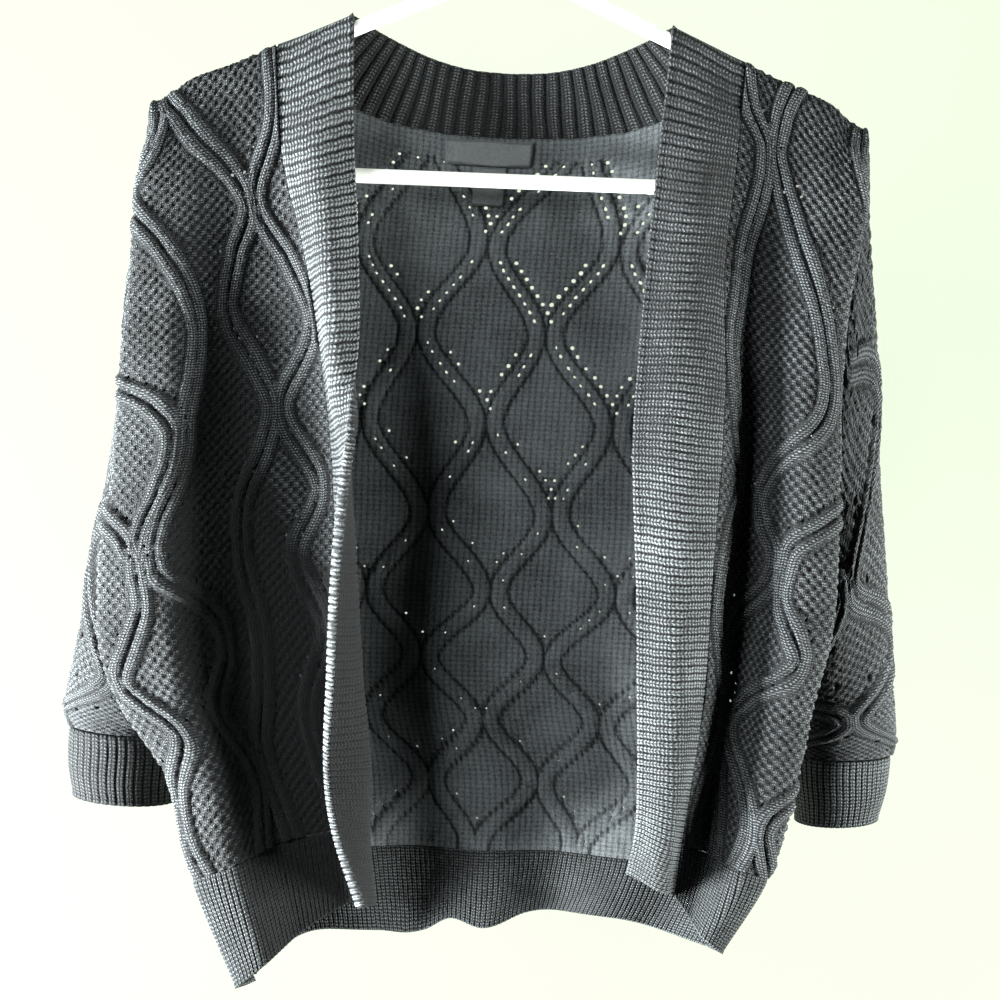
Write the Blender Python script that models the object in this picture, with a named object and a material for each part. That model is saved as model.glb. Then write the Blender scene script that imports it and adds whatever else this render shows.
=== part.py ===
"""Open-front cocoon cardigan in cabled knit, hanging on a tubular plastic clothes hanger.

Frame: metres, +Z up, the cardigan's front faces -Y, +X is to the right of someone looking at the front.
The origin is the crown of the hook, where a rod carries the hanger. Tables and sizes are in millimetres.

Each piece of cloth is a wall. Its middle surface is described by sections, one row of a table for each
section down the cloth, and every section is a smooth curve through a few named places. Cables and ribs
are raised in the wall's outer points, and the inside stays plain.
"""

import math

import bmesh
import bpy
import numpy as np

MM = 0.001

# ---------------------------------------------------------------- driving sizes, in millimetres
CLOTH = 2.4            # thickness of the knitted wall
SEAM = 0.35            # gap between pieces that are sewn together
TURNED_SEAM = 0.9      # the same where the pieces meet at an angle or their points do not pair up
CABLE_HEIGHT = 3.0     # how far a cable stands out of its ground
CABLE_FOOT = 5.5       # half the width of a cable
RIB_HEIGHT = 1.6
BAND_RIB = 6.5         # pitch of the ribs along the front bands
NECK_SEAM = 1.4        # gap between the back and the band behind the neck, whose edge is curved
NECK_RIBS = 29         # ribs of the band behind the neck
NECK_RIBS_SINK = 0.15  # share of that band's length over which its ribs sink towards each end
HEM_RIB = 4.6          # pitch of the ribs along the hem
CUFF_RIBS = 40         # ribs round each cuff
ROW_STEP = 18.0        # distance between two rows of points down a cabled panel

TUBE = 4.5             # radius of the hanger's tube
HOOK_RADIUS = 26.0     # centre line of the hook's bend
APEX_Z = -93.5         # where the centre lines of the hanger's two arms meet
BAR_Z = -228.0         # centre line of the straight bar
ARM_SLOPE = math.radians(24.0)
END_RADIUS = 25.0      # centre line of the round ends between arm and bar
APEX_RADIUS = 14.0     # centre line of the bend where the arms meet
HOOK_LEAN = 50.0       # turn aside of the stem, in degrees, that brings the crown over the bar's middle
HOOK_TURN = 240.0      # turn of the hook's bend, in degrees

OVER_ARM = 6.2         # radius of the cloth's middle where it lies over the hanger's arm
ARM_RISE = OVER_ARM / math.cos(ARM_SLOPE)
WRAP = OVER_ARM * math.pi / 2   # length of cloth from the shoulder seam to the side of the arm

# ---------------------------------------------------------------- sections of the two fronts
# Distance down the cloth of each section, from the side of the hanger's arm to the bottom of the hem.
DOWN = np.array([WRAP, 58, 118, 182, 230, 252, 302, 366, 421, 470, 524])
HEM_TOP = DOWN[-2]
CLOTH_END = DOWN[-1]

# One row for each section. free_z, seam_z and side_z are the heights at the band's free edge, at the
# band's seam and at the side. The pairs are x and y of: the band's free edge, the middle of the band,
# the band's seam, the valley beside it, the bulge over the side, the fold at the side, and the side seam.
LEFT_FRONT = (
    # free_z, seam_z, side_z, free edge, mid band, band seam, valley, bulge, side fold, side seam
    (-137.2, -158.5, -196.5, -98, -6.2, -121, -6.2, -145, -6.2, -172, -6.2, -199, -6.2, -218, -6.4, -221.5, -6.5),
    (-205, -218, -240, -95, -14, -117, -19, -138, -12, -167, -9, -199, -15, -224, -12, -221, -6.6),
    (-270, -280, -300, -90, -22, -107, -31, -121, -16, -166, -6, -205, -20, -227, -15, -219, -6.6),
    (-340, -346, -365, -86, -36, -97, -42, -108, -20, -160, -3, -203, -27, -230, -19, -217, -6.2),
    (-392, -396, -412, -86, -50, -90, -38, -101, -19, -155, -1, -200, -30, -232, -20, -214, -2.8),
    (-414, -418, -434, -88, -54, -88, -37, -99, -18, -153, 0, -200, -32, -234, -21, -212, -4.5),
    (-470, -470, -485, -92, -53, -83, -35, -96, -17, -149, 2, -200, -34, -238, -23, -214, -8.5),
    (-535, -535, -550, -93, -52, -78, -35, -88, -14, -146, 4, -190, -33, -226, -24, -206, -9),
    (-588, -590, -605, -94, -46, -71, -31, -82, -11, -138, 4, -167, -30, -190, -22, -177, -6),
    (-624, -632, -664, -88, -45, -70, -30, -79, -9, -124, -2, -152, -27, -174, -17, -163, -3),
    (-671, -676, -730, -70, -43, -64, -25, -75, -7, -108, -8, -131, -26, -145, -14, -138, 0),
)
RIGHT_FRONT = (
    (-137.2, -158, -196.5, 98, -6.2, 121, -6.2, 144, -6.2, 171, -6.2, 199, -6.2, 218, -6.4, 221.5, -6.5),
    (-205, -212, -240, 93, -14, 116, -20, 140, -12, 166, -9, 197, -16, 219, -13, 215, -6.6),
    (-275, -280, -300, 88, -20, 111, -28, 134, -18, 157, -7, 190, -22, 210, -17, 206, -6.6),
    (-345, -348, -365, 84, -26, 110, -35, 136, -25, 158, -3, 187, -26, 208, -21, 197, -6.2),
    (-392, -396, -412, 83, -28, 108, -38, 135, -29, 156, 1, 187, -29, 208, -23, 191, -2.8),
    (-414, -418, -434, 84, -29, 109, -39, 134, -30, 155, 2, 187, -30, 208, -24, 190, -4.5),
    (-470, -472, -485, 88, -30, 111, -40, 132, -30, 154, 1, 186, -32, 207, -26, 188, -8.5),
    (-535, -537, -550, 91, -32, 112, -42, 130, -28, 150, 1, 179, -32, 196, -25, 180, -9),
    (-586, -590, -602, 93, -34, 112, -43, 125, -24, 144, 0, 171, -30, 187, -22, 172, -6),
    (-620, -632, -650, 94, -29, 110, -39, 121, -16, 138, -4, 160, -28, 174, -18, 162, -4),
    (-650, -664, -697, 91, -16, 109, -34, 119, -12, 128, -14, 138, -26, 148, -15, 142, -2),
)
SHOULDER_CROWN = 4.6   # how far the shoulder line rises over the straight line from neck to tip

# ---------------------------------------------------------------- sections of the back
# Height and depth at the centre of the back and depth at the side seam, for each section of the fronts.
# The back takes the places of its side seams from the fronts, so that the seams meet.
BACK = (
    # centre_z  centre_y  side_y
    (-206, 25, 6.5),
    (-248, 25, 6.6),
    (-303, 26, 6.6),
    (-365, 27, 6.2),
    (-412, 28, 2.0),
    (-434, 28, -4.5),
    (-485, 30, -8.5),
    (-550, 32, -8),
    (-603, 34, -4.4),
    (-650, 35, -3.5),
    (-697, 36, -1),
)
# The back's top edge from the centre (share 0) to the tip of the shoulder (share 1): height and depth.
NECK_SHARE = 0.655     # share where the neckline meets the shoulder
BACK_TOP = (
    # share   z      y
    (0.00, -196, 25),
    (0.18, -195, 24),
    (0.34, -190, 21),
    (0.47, -181, 15),
    (0.55, -171, 11.0),
    (0.585, -159.5, 9.2),
    (0.605, -151.0, 8.2),
    (0.63, -149.0, 4.6),
    (0.655, -149.4, 0.3),
    (0.78, -162.6, 0.3),
    (0.89, -174.2, 0.3),
    (1.00, -189.7, 0.3),
)
BACK_ROUND = 0.8       # power that rounds the back's section: 1 is a parabola, less is fuller at the sides
BACK_RISE = 6          # power that keeps the back level over its middle and lifts it at the side seams
FLUTES = 3.5           # soft waves across the back at the hem
FLUTE_DEPTH = 7.0

# ---------------------------------------------------------------- the band behind the neck
# Its upper edge, from the centre (way 0) to the end at the shoulder seam (way 1). The lower edge is sewn
# to the back's neckline.
NECK_TOP = (
    # way    x     y      z
    (0.00, 0.0, 22.0, -156.0),
    (0.20, 25.0, 21.5, -154.5),
    (0.40, 48.0, 19.5, -149.5),
    (0.60, 67.0, 16.5, -142.5),
    (0.80, 84.0, 12.5, -135.0),
    (0.92, 93.0, 8.0, -130.8),
    (0.96, 96.0, 4.8, -130.0),
    (1.00, 98.5, 0.5, -130.4),
)

# ---------------------------------------------------------------- sections of the sleeves and cuffs
# One row for each ring: x and z over the arm, x and z under the arm, depth of the middle, half depth.
SLEEVE_DOWN = 300.0
LEFT_SLEEVE = (
    # over_x over_z  under_x under_z  mid_y half_y
    (-222.0, -187, -216.0, -411, 0, 3.75),
    (-229, -262, -218, -440, 6, 7.5),
    (-237, -347, -214, -474, 14, 15),
    (-246, -428, -207, -510, 22, 22.5),
    (-257, -501, -201, -544, 30, 29.5),
    (-267, -553, -196, -567, 35, 34),
    (-265, -579, -199, -583, 36, 33),
)
RIGHT_SLEEVE = (
    (222.0, -187, 192.5, -411, 0, 3.75),
    (229, -262, 197, -440, 6, 7.5),
    (237, -347, 196, -474, 14, 15),
    (245, -428, 195, -510, 22, 22.5),
    (252, -501, 194, -542, 30, 29.5),
    (260, -553, 193, -563, 35, 34),
    (258, -578, 196, -581, 36, 33),
)
CUFF_DOWN = 40.0
LEFT_CUFF = (
    (-265, -580, -199, -584, 36, 33),
    (-265, -602, -198, -605, 36, 32.5),
    (-261, -623, -200, -627, 36, 31),
)
RIGHT_CUFF = (
    (258, -579, 196, -582, 36, 33),
    (256, -600, 199, -603, 36, 32),
    (251, -619, 203, -624, 36, 30),
)

# ---------------------------------------------------------------- cables
# Middle of each cable's wave as a share of the panel's width, from the band's seam to the side seam on a
# front, and how far it swings to each side. Neighbours swing against each other.
FRONT_CABLES = ((0.115, -0.045), (0.335, 0.085), (0.58, -0.085), (0.80, 0.06))
BACK_CABLES = tuple(((k + 0.5) / 10, 0.036 * (-1) ** k) for k in range(10))
SLEEVE_CABLES = tuple(((k + 0.5) / 4, 0.085 * (-1) ** k) for k in range(4))
WIDEST_FOOT = 0.042    # share of the width that half a cable takes at most
# Length of one full wave down the cloth, and where its first crest is.
FRONT_WAVE = (122.0, 19.0)
BACK_WAVE = (98.0, 32.0)
SLEEVE_WAVE = (98.0, 60.0)

# ---------------------------------------------------------------- labels, on the inside of the back
# Left and right edge, distance of the top edge under the neck seam, height and thickness.
LABELS = {
    "label": (-40.0, 16.0, 3.0, 16.0, 0.8),
    "size_label": (-21.0, 0.0, 19.6, 27.0, 0.7),
}

COLOURS = {
    "knit": ((0.028, 0.030, 0.033), 0.85),
    "rib": ((0.040, 0.043, 0.047), 0.8),
    "label": ((0.085, 0.095, 0.095), 0.5),
    "hanger": ((0.86, 0.88, 0.84), 0.35),
}


# ================================================================ smooth curves and surfaces
def smooth_through(knots, values, at):
    """A cubic curve through the values at the knots, read at the places in at."""
    knots, values = np.asarray(knots, float), np.asarray(values, float)
    slopes = np.gradient(values, knots, axis=0)
    at = np.clip(np.asarray(at, float), knots[0], knots[-1])
    i = np.clip(np.searchsorted(knots, at, side="right") - 1, 0, len(knots) - 2)
    step = (knots[i + 1] - knots[i])[:, None]
    t = (at - knots[i])[:, None] / step
    return (
        values[i] * (2 * t**3 - 3 * t**2 + 1)
        + values[i + 1] * (3 * t**2 - 2 * t**3)
        + slopes[i] * step * (t**3 - 2 * t**2 + t)
        + slopes[i + 1] * step * (t**3 - t**2)
    )


class Cloth:
    """A surface of sections. curve(v, t) gives the points of the section at v for t from 0 to 1."""

    def __init__(self, curve, start=0.0, end=0.0, closed=False, span=(0.0, CLOTH_END)):
        self.curve = curve
        self.start = start      # width left off at the first side, where a neighbour is sewn on
        self.end = end          # width left off at the last side
        self.closed = closed
        self.span = span

    def lengths(self, v):
        t = np.linspace(0, 1, 97)
        steps = np.linalg.norm(np.diff(self.curve(v, t), axis=0), axis=1)
        return t, np.concatenate([[0], np.cumsum(steps)])

    def width(self, v):
        """Width of the cloth at v, measured along its section."""
        return self.lengths(v)[1][-1] - self.start - self.end

    def at(self, v, shares):
        """Points at these shares of the cloth's width."""
        v = min(max(v, self.span[0]), self.span[1])
        t, lengths = self.lengths(v)
        shares = np.asarray(shares, float)
        shares = shares % 1.0 if self.closed else np.clip(shares, 0, 1)
        width = lengths[-1] - self.start - self.end
        return self.curve(v, np.interp(self.start + shares * width, lengths, t))

    def moved(self, v, shares, out):
        """Points at these shares, moved off the cloth's middle by the distances in out."""
        shares = np.asarray(shares, float)
        nudge, drop = 0.004, 0.0008 * (self.span[1] - self.span[0])
        along = self.at(v, shares + nudge) - self.at(v, shares - nudge)
        down = self.at(v + drop, shares) - self.at(v - drop, shares)
        normal = np.cross(along, down)
        normal /= np.linalg.norm(normal, axis=1)[:, None]
        return self.at(v, shares) + normal * np.broadcast_to(out, len(shares))[:, None]


def front_curve(table, first, last):
    """The section of a front between two of its seven named places."""
    rows = np.array(table, float)

    def curve(v, t):
        row = smooth_through(DOWN, rows, [v])[0]
        free_z, seam_z, side_z = row[:3]
        crown = SHOULDER_CROWN * max(0.0, 1 - v / DOWN[1])
        height = (
            free_z,
            (free_z + seam_z) / 2,
            seam_z,
            seam_z + (side_z - seam_z) * 0.36 + crown / 2,
            seam_z + (side_z - seam_z) * 0.72 + crown,
            side_z,
            side_z,
        )
        places = np.column_stack([row[3::2], row[4::2], height])
        if v < WRAP:
            places[:, 1] += (OVER_ARM - SEAM) * (1 - math.sin(v / OVER_ARM))
            places[:, 2] += ARM_RISE * math.cos(v / OVER_ARM)
        knots = np.concatenate([[0], np.cumsum(np.linalg.norm(np.diff(places, axis=0), axis=1))])
        return smooth_through(knots, places, knots[first] + t * (knots[last] - knots[first]))

    return curve


def back_curve():
    """The section of the back, from the left side seam to the right one."""
    left, right = np.array(LEFT_FRONT, float), np.array(RIGHT_FRONT, float)
    rows, top = np.array(BACK, float), np.array(BACK_TOP, float)

    def curve(v, t):
        left_z, left_x = smooth_through(DOWN, left[:, [2, -2]], [v])[0]
        right_z, right_x = smooth_through(DOWN, right[:, [2, -2]], [v])[0]
        centre_z, centre_y, side_y = smooth_through(DOWN, rows, [v])[0]
        way = 2 * t - 1                     # -1 at the left seam, 0 in the middle, 1 at the right seam
        share = np.abs(way)
        centre_x = (left_x + right_x) / 2
        x = centre_x + (np.where(way < 0, left_x, right_x) - centre_x) * share
        y = side_y + (centre_y - side_y) * (1 - share**2) ** BACK_ROUND
        z = centre_z + (np.where(way < 0, left_z, right_z) - centre_z) * share**BACK_RISE
        # For a short way down, the back keeps the shape of the neckline and of the hanger's arms.
        if v < DOWN[2]:
            edge_z, edge_y = np.interp(share, top[:, 0], top[:, 1]), np.interp(share, top[:, 0], top[:, 2])
            first = np.arcsin(np.clip(edge_y / OVER_ARM, 0, 1))      # angle round the arm at the edge
            angle = np.minimum(first + v / OVER_ARM, math.pi / 2)
            top_y = np.maximum(edge_y, OVER_ARM * np.sin(angle))
            top_z = edge_z - ARM_RISE * (np.cos(first) - np.cos(angle)) - (v - (angle - first) * OVER_ARM)
            fade = (1 - max(0.0, v - WRAP) / (DOWN[2] - WRAP)) ** 2
            y = y + (top_y - y) * fade
            z = z + (top_z - z) * fade
        # Soft flutes grow towards the hem.
        grown = max(0.0, (v - DOWN[6]) / (CLOTH_END - DOWN[6]))
        y = y + FLUTE_DEPTH * grown * np.sin(2 * math.pi * FLUTES * t) * (1 - share**4)
        return np.column_stack([x, y, z])

    return curve


def neck_curve(back):
    """The section of the band behind the neck, from its lower edge to its upper edge."""
    table = np.array(NECK_TOP, float)

    def curve(v, t):
        way = 2 * v - 1
        x, y, z = smooth_through(table[:, 0], table[:, 1:], [abs(way)])[0]
        upper = np.array([math.copysign(x, way), y, z])
        lower = back(0.0, np.array([(1 + way * NECK_SHARE) / 2]))[0]
        return lower + (upper - lower) * t[:, None]

    return curve


def ring_curve(table, length):
    """Rings of a sleeve or a cuff: from under the arm over the front and the outside to the back."""
    rows = np.array(table, float)
    knots = np.linspace(0, length, len(rows))

    def curve(v, t):
        over_x, over_z, under_x, under_z, mid_y, half_y = smooth_through(knots, rows, [v])[0]
        turn = 2 * math.pi * t
        out = (1 - np.cos(turn)) / 2
        x = under_x + (over_x - under_x) * out
        y = mid_y - np.sin(turn) * half_y
        z = under_z + (over_z - under_z) * out
        return np.column_stack([x, y, z])

    return curve


# ================================================================ walls of cloth
def picked(count, every, closed):
    """Indices of the points that the plain inside keeps."""
    kept = list(range(0, count, every))
    if not closed and kept[-1] != count - 1:
        kept.append(count - 1)
    return kept


def wall(name, kind, cloth, downs, shares, relief, every=(2, 2), thick=CLOTH, lift=0.0, side=1.0, all_to=0):
    """A closed wall: an outer sheet with the relief, a plain inner sheet, and the rims between them.

    downs are the rows. shares and relief hold one list for each row. every says which rows and
    columns the inside keeps, after the first all_to rows, and side is -1 where the cloth's outside
    lies against its normal."""
    bm = bmesh.new()
    outer, inner = [], []
    keep_rows = sorted({*range(all_to), *picked(len(downs), every[0], False)})
    keep_columns = picked(len(shares[0]), every[1], cloth.closed)
    for row, (v, share, raised) in enumerate(zip(downs, shares, relief)):
        share = np.asarray(share, float)
        out = side * (lift + thick / 2 + np.asarray(raised, float))
        outer.append([bm.verts.new(p * MM) for p in cloth.moved(v, share, out)])
        if row in keep_rows:
            plain = cloth.moved(v, share[keep_columns], side * (lift - thick / 2))
            inner.append([bm.verts.new(p * MM) for p in plain])
    for sheet in (outer, inner):
        for upper, lower in zip(sheet, sheet[1:]):
            columns = list(range(len(upper))) + ([0] if cloth.closed else [])
            for a, b in zip(columns, columns[1:]):
                bm.faces.new((upper[a], upper[b], lower[b], lower[a]))
    close_rim(bm, outer[0], inner[0], keep_columns, cloth.closed)
    close_rim(bm, outer[-1], inner[-1], keep_columns, cloth.closed)
    if not cloth.closed:
        for end in (0, -1):
            close_rim(bm, [row[end] for row in outer], [row[end] for row in inner], keep_rows, False)
    return solid(name, kind, bm)


def close_rim(bm, edge, plain, kept, closed):
    """Triangles between an edge with all its points and the same edge of the inside with fewer."""
    spans = list(zip(kept, kept[1:])) + ([(kept[-1], len(edge))] if closed else [])
    for k, (first, last) in enumerate(spans):
        near, far = plain[k], plain[(k + 1) % len(plain)]
        middle = (first + last) // 2
        for i in range(first, last):
            bm.faces.new((edge[i], edge[(i + 1) % len(edge)], near if i < middle else far))
        bm.faces.new((near, far, edge[middle % len(edge)]))


def solid(name, kind, bm):
    """An object from a bmesh, with the material of its kind."""
    bmesh.ops.recalc_face_normals(bm, faces=bm.faces)
    mesh = bpy.data.meshes.new(name)
    bm.to_mesh(mesh)
    bm.free()
    material = bpy.data.materials.get(kind)
    if material is None:
        colour, roughness = COLOURS[kind]
        material = bpy.data.materials.new(kind)
        material.use_nodes = True
        shader = material.node_tree.nodes["Principled BSDF"]
        shader.inputs["Base Color"].default_value = (*colour, 1)
        shader.inputs["Roughness"].default_value = roughness
        shader.inputs["Metallic"].default_value = 0.0
    mesh.materials.append(material)
    made = bpy.data.objects.new(name, mesh)
    bpy.context.scene.collection.objects.link(made)
    return made


# ================================================================ columns and rows
def cabled(cloth, downs, cables, wave, between, extra=(), bare=0.0):
    """Columns that follow the cables, and their relief, for each row of a panel.

    Each cable has two feet and a crest. between is the number of plain columns from one cable to the
    next, extra are plain columns near the side, where the panel turns back, and the relief grows over
    the length bare at the top."""
    shares, relief = [], []
    for v in downs:
        foot = min(CABLE_FOOT / cloth.width(v), WIDEST_FOOT)
        swung = math.cos(2 * math.pi * (v - wave[1]) / wave[0])
        centres = [middle + swing * swung for middle, swing in cables]
        crest = CABLE_HEIGHT * min(1.0, v / bare) if bare else CABLE_HEIGHT
        row, height = ([], []) if cloth.closed else ([0.0], [0.0])
        for centre, following in zip(centres, centres[1:] + [centres[0] + 1]):
            row += [centre - foot, centre, centre + foot]
            height += [0.0, crest, 0.0]
            if cloth.closed or following < 1:
                gap = following - centre - 2 * foot
                row += [centre + foot + gap * (n + 1) / (between + 1) for n in range(between)]
                height += [0.0] * between
        if not cloth.closed:
            last = row[-1]
            row += [last + (1 - last) * part for part in (*extra, 1.0)]
            height += [0.0] * (len(extra) + 1)
        shares.append(row)
        relief.append(height)
    return shares, relief


def ribbed(count, closed=False):
    """Shares and relief of a ribbed edge: a valley and a ridge for each rib."""
    ends = 0 if closed else 1
    shares = [n / (2 * count) for n in range(2 * count + ends)]
    return shares, [RIB_HEIGHT * (n % 2) for n in range(2 * count + ends)]


def panel_rows():
    """Rows of a panel: close together over the hanger's arm, then about ROW_STEP apart."""
    rows = [WRAP * n / 3 for n in range(4)]
    length = HEM_TOP - TURNED_SEAM - WRAP
    count = round(length / ROW_STEP)
    return rows + [WRAP + length * (n + 1) / count for n in range(count)]


# ================================================================ the pieces
def build_front(side_name, table, side):
    """A front panel, its hem and its ribbed band."""
    panel = Cloth(front_curve(table, 2, 6), start=TURNED_SEAM, end=TURNED_SEAM)
    downs = panel_rows()
    shares, relief = cabled(panel, downs, FRONT_CABLES, FRONT_WAVE, 1, extra=(0.25, 0.5, 0.75))
    wall(f"front_{side_name}", "knit", panel, downs, shares, relief, side=side, all_to=4)

    share, raised = ribbed(round(panel.width(HEM_TOP) / HEM_RIB))
    build_hem(f"hem_front_{side_name}", panel, share, raised, side)

    band = Cloth(front_curve(table, 0, 2))
    along, raised = ribbed(round(CLOTH_END / BAND_RIB))
    across = [0.0, 0.5, 1.0]
    wall(
        f"band_{side_name}",
        "rib",
        band,
        [CLOTH_END * part for part in along],
        [across] * len(along),
        [[rib, rib, 0.0] for rib in raised],
        every=(4, 1),
        side=side,
        all_to=4,
    )


def build_hem(name, cloth, share, raised, side):
    downs = [HEM_TOP, (HEM_TOP + CLOTH_END) / 2, CLOTH_END]
    wall(name, "rib", cloth, downs, [share] * 3, [raised] * 3, every=(1, 4), side=side)


def build_back():
    """The back panel, its hem, the band behind the neck and the two labels."""
    curve = back_curve()
    back = Cloth(curve, start=TURNED_SEAM, end=TURNED_SEAM)
    downs = panel_rows()
    shares, relief = cabled(back, downs, BACK_CABLES, BACK_WAVE, 1)
    wall("back", "knit", back, downs, shares, relief, every=(3, 1), all_to=4)

    share, raised = ribbed(round(back.width(HEM_TOP) / HEM_RIB))
    build_hem("hem_back", back, share, raised, 1.0)

    neck = Cloth(neck_curve(curve), start=NECK_SEAM, span=(0.0, 1.0))
    along, raised = ribbed(NECK_RIBS)
    across = [0.0, 0.34, 0.67, 1.0]
    # The ribs sink to nothing where the band lies on the hanger's arms.
    sunk = [
        [rib * min(1.0, min(v, 1 - v) / NECK_RIBS_SINK) ** 2] * len(across) for v, rib in zip(along, raised)
    ]
    wall("band_neck", "rib", neck, along, [across] * len(along), sunk, every=(1, 1), side=-1.0)

    for name, (left, right, top, height, thick) in LABELS.items():
        width = back.width(top)
        share = [0.5 + (left + (right - left) * n / 4) / width for n in range(5)]
        downs = [top, top + height / 2, top + height]
        lift = CLOTH / 2 + TURNED_SEAM + thick / 2
        flat = [[0.0] * 5] * 3
        wall(name, "label", back, downs, [share] * 3, flat, every=(1, 1), thick=thick, lift=lift, side=-1.0)


def build_sleeve(side_name, sleeve_table, cuff_table, side):
    sleeve = Cloth(ring_curve(sleeve_table, SLEEVE_DOWN), closed=True, span=(0.0, SLEEVE_DOWN))
    count = round(SLEEVE_DOWN / ROW_STEP)
    downs = [SLEEVE_DOWN * n / count for n in range(count + 1)]
    shares, relief = cabled(sleeve, downs, SLEEVE_CABLES, SLEEVE_WAVE, 1, bare=4 * ROW_STEP)
    wall(f"sleeve_{side_name}", "knit", sleeve, downs, shares, relief, side=side)

    cuff = Cloth(ring_curve(cuff_table, CUFF_DOWN), closed=True, span=(0.0, CUFF_DOWN))
    share, raised = ribbed(CUFF_RIBS, closed=True)
    downs = [0.0, CUFF_DOWN / 2, CUFF_DOWN]
    wall(f"cuff_{side_name}", "rib", cuff, downs, [share] * 3, [raised] * 3, every=(1, 4), side=side)


# ================================================================ the hanger
def walk(place, heading, moves):
    """A path in the plane y = 0: straight moves and bends, each with its radius and its turn."""
    path = [np.array(place, float)]
    for length, radius, turn in moves:
        if radius:
            steps = math.ceil(abs(turn) / 15)
            for _ in range(steps):
                bend = math.radians(turn / steps)
                chord = 2 * radius * math.sin(abs(bend) / 2)
                heading += bend / 2
                path.append(path[-1] + chord * np.array([math.cos(heading), math.sin(heading)]))
                heading += bend / 2
        else:
            path.append(path[-1] + length * np.array([math.cos(heading), math.sin(heading)]))
    return path


def swept(path, closed, sides=12):
    """A round tube along a path in the plane y = 0, with rounded ends where the path is open."""
    bm = bmesh.new()
    rings = []

    def ring(place, across, radius):
        rings.append([])
        for k in range(sides):
            angle = 2 * math.pi * k / sides
            x, z = place + across * math.cos(angle) * radius
            rings[-1].append(bm.verts.new(np.array([x, math.sin(angle) * radius, z]) * MM))

    count = len(path)
    for i, place in enumerate(path):
        before = path[i - 1] if closed or i else place
        after = path[(i + 1) % count] if closed or i < count - 1 else place
        ahead = (after - before) / np.linalg.norm(after - before)
        across = np.array([-ahead[1], ahead[0]])
        if not closed and i == count - 1:
            for angle in (0, 30, 60, 80):
                out = math.radians(angle)
                ring(place + ahead * TUBE * math.sin(out), across, TUBE * math.cos(out))
        else:
            ring(place, across, TUBE)
    pairs = list(zip(rings, rings[1:])) + ([(rings[-1], rings[0])] if closed else [])
    for one, two in pairs:
        for k in range(sides):
            following = (k + 1) % sides
            bm.faces.new((one[k], one[following], two[following], two[k]))
    if not closed:
        bm.faces.new(rings[0])
        bm.faces.new(rings[-1])
    return bm


def build_hanger():
    """One moulding: two arms, round ends, a straight bar and the hook over the apex."""
    corner = (APEX_Z - BAR_Z) / math.tan(ARM_SLOPE)     # where an arm's line would meet the bar's line
    bar_half = corner - END_RADIUS / math.tan(ARM_SLOPE / 2)
    slope = math.degrees(ARM_SLOPE)
    arm = math.hypot(corner, APEX_Z - BAR_Z) - END_RADIUS / math.tan(ARM_SLOPE / 2)
    arm -= APEX_RADIUS * math.tan(ARM_SLOPE)
    loop = walk(
        (-bar_half, BAR_Z),
        0.0,
        (
            (2 * bar_half, 0, 0),
            (0, END_RADIUS, 180 - slope),
            (arm, 0, 0),
            (0, APEX_RADIUS, 2 * slope),
            (arm, 0, 0),
            (0, END_RADIUS, 180 - slope),
        ),
    )
    hanger = solid("hanger", "hanger", swept(loop[:-1], True))

    # The stem leans aside below the hook's bend, so that the crown stands over the middle of the bar.
    bend_centre = TUBE - HOOK_RADIUS
    cosine, sine = math.cos(math.radians(HOOK_LEAN)), math.sin(math.radians(HOOK_LEAN))
    lean_radius = HOOK_RADIUS * cosine / (1 - cosine)
    stem = bend_centre - (HOOK_RADIUS + lean_radius) * sine - APEX_Z
    hook = walk(
        (0.0, APEX_Z),
        math.pi / 2,
        ((stem, 0, 0), (0, lean_radius, -HOOK_LEAN), (0, HOOK_RADIUS, HOOK_TURN)),
    )
    guide = solid("hanger_hook_guide", "hanger", swept(hook, False))
    guide.hide_render = True
    guide.display_type = "WIRE"
    joined = hanger.modifiers.new("hook", "BOOLEAN")
    joined.operation = "UNION"
    joined.object = guide


for old in list(bpy.data.objects):
    bpy.data.objects.remove(old, do_unlink=True)

build_front("left", LEFT_FRONT, 1.0)
build_front("right", RIGHT_FRONT, -1.0)
build_back()
build_sleeve("left", LEFT_SLEEVE, LEFT_CUFF, 1.0)
build_sleeve("right", RIGHT_SLEEVE, RIGHT_CUFF, -1.0)
build_hanger()
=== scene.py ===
"""A cropped open-front cardigan in cabled knit, hanging on a tubular plastic clothes hanger.

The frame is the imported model's: metres, +Z up, the open front faces -Y, +X is to the right of someone
looking at the front, and the origin is the underside of the hook's crown. The tables of the garment's
form are in millimetres, as a knitter measures it."""

import math

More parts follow.
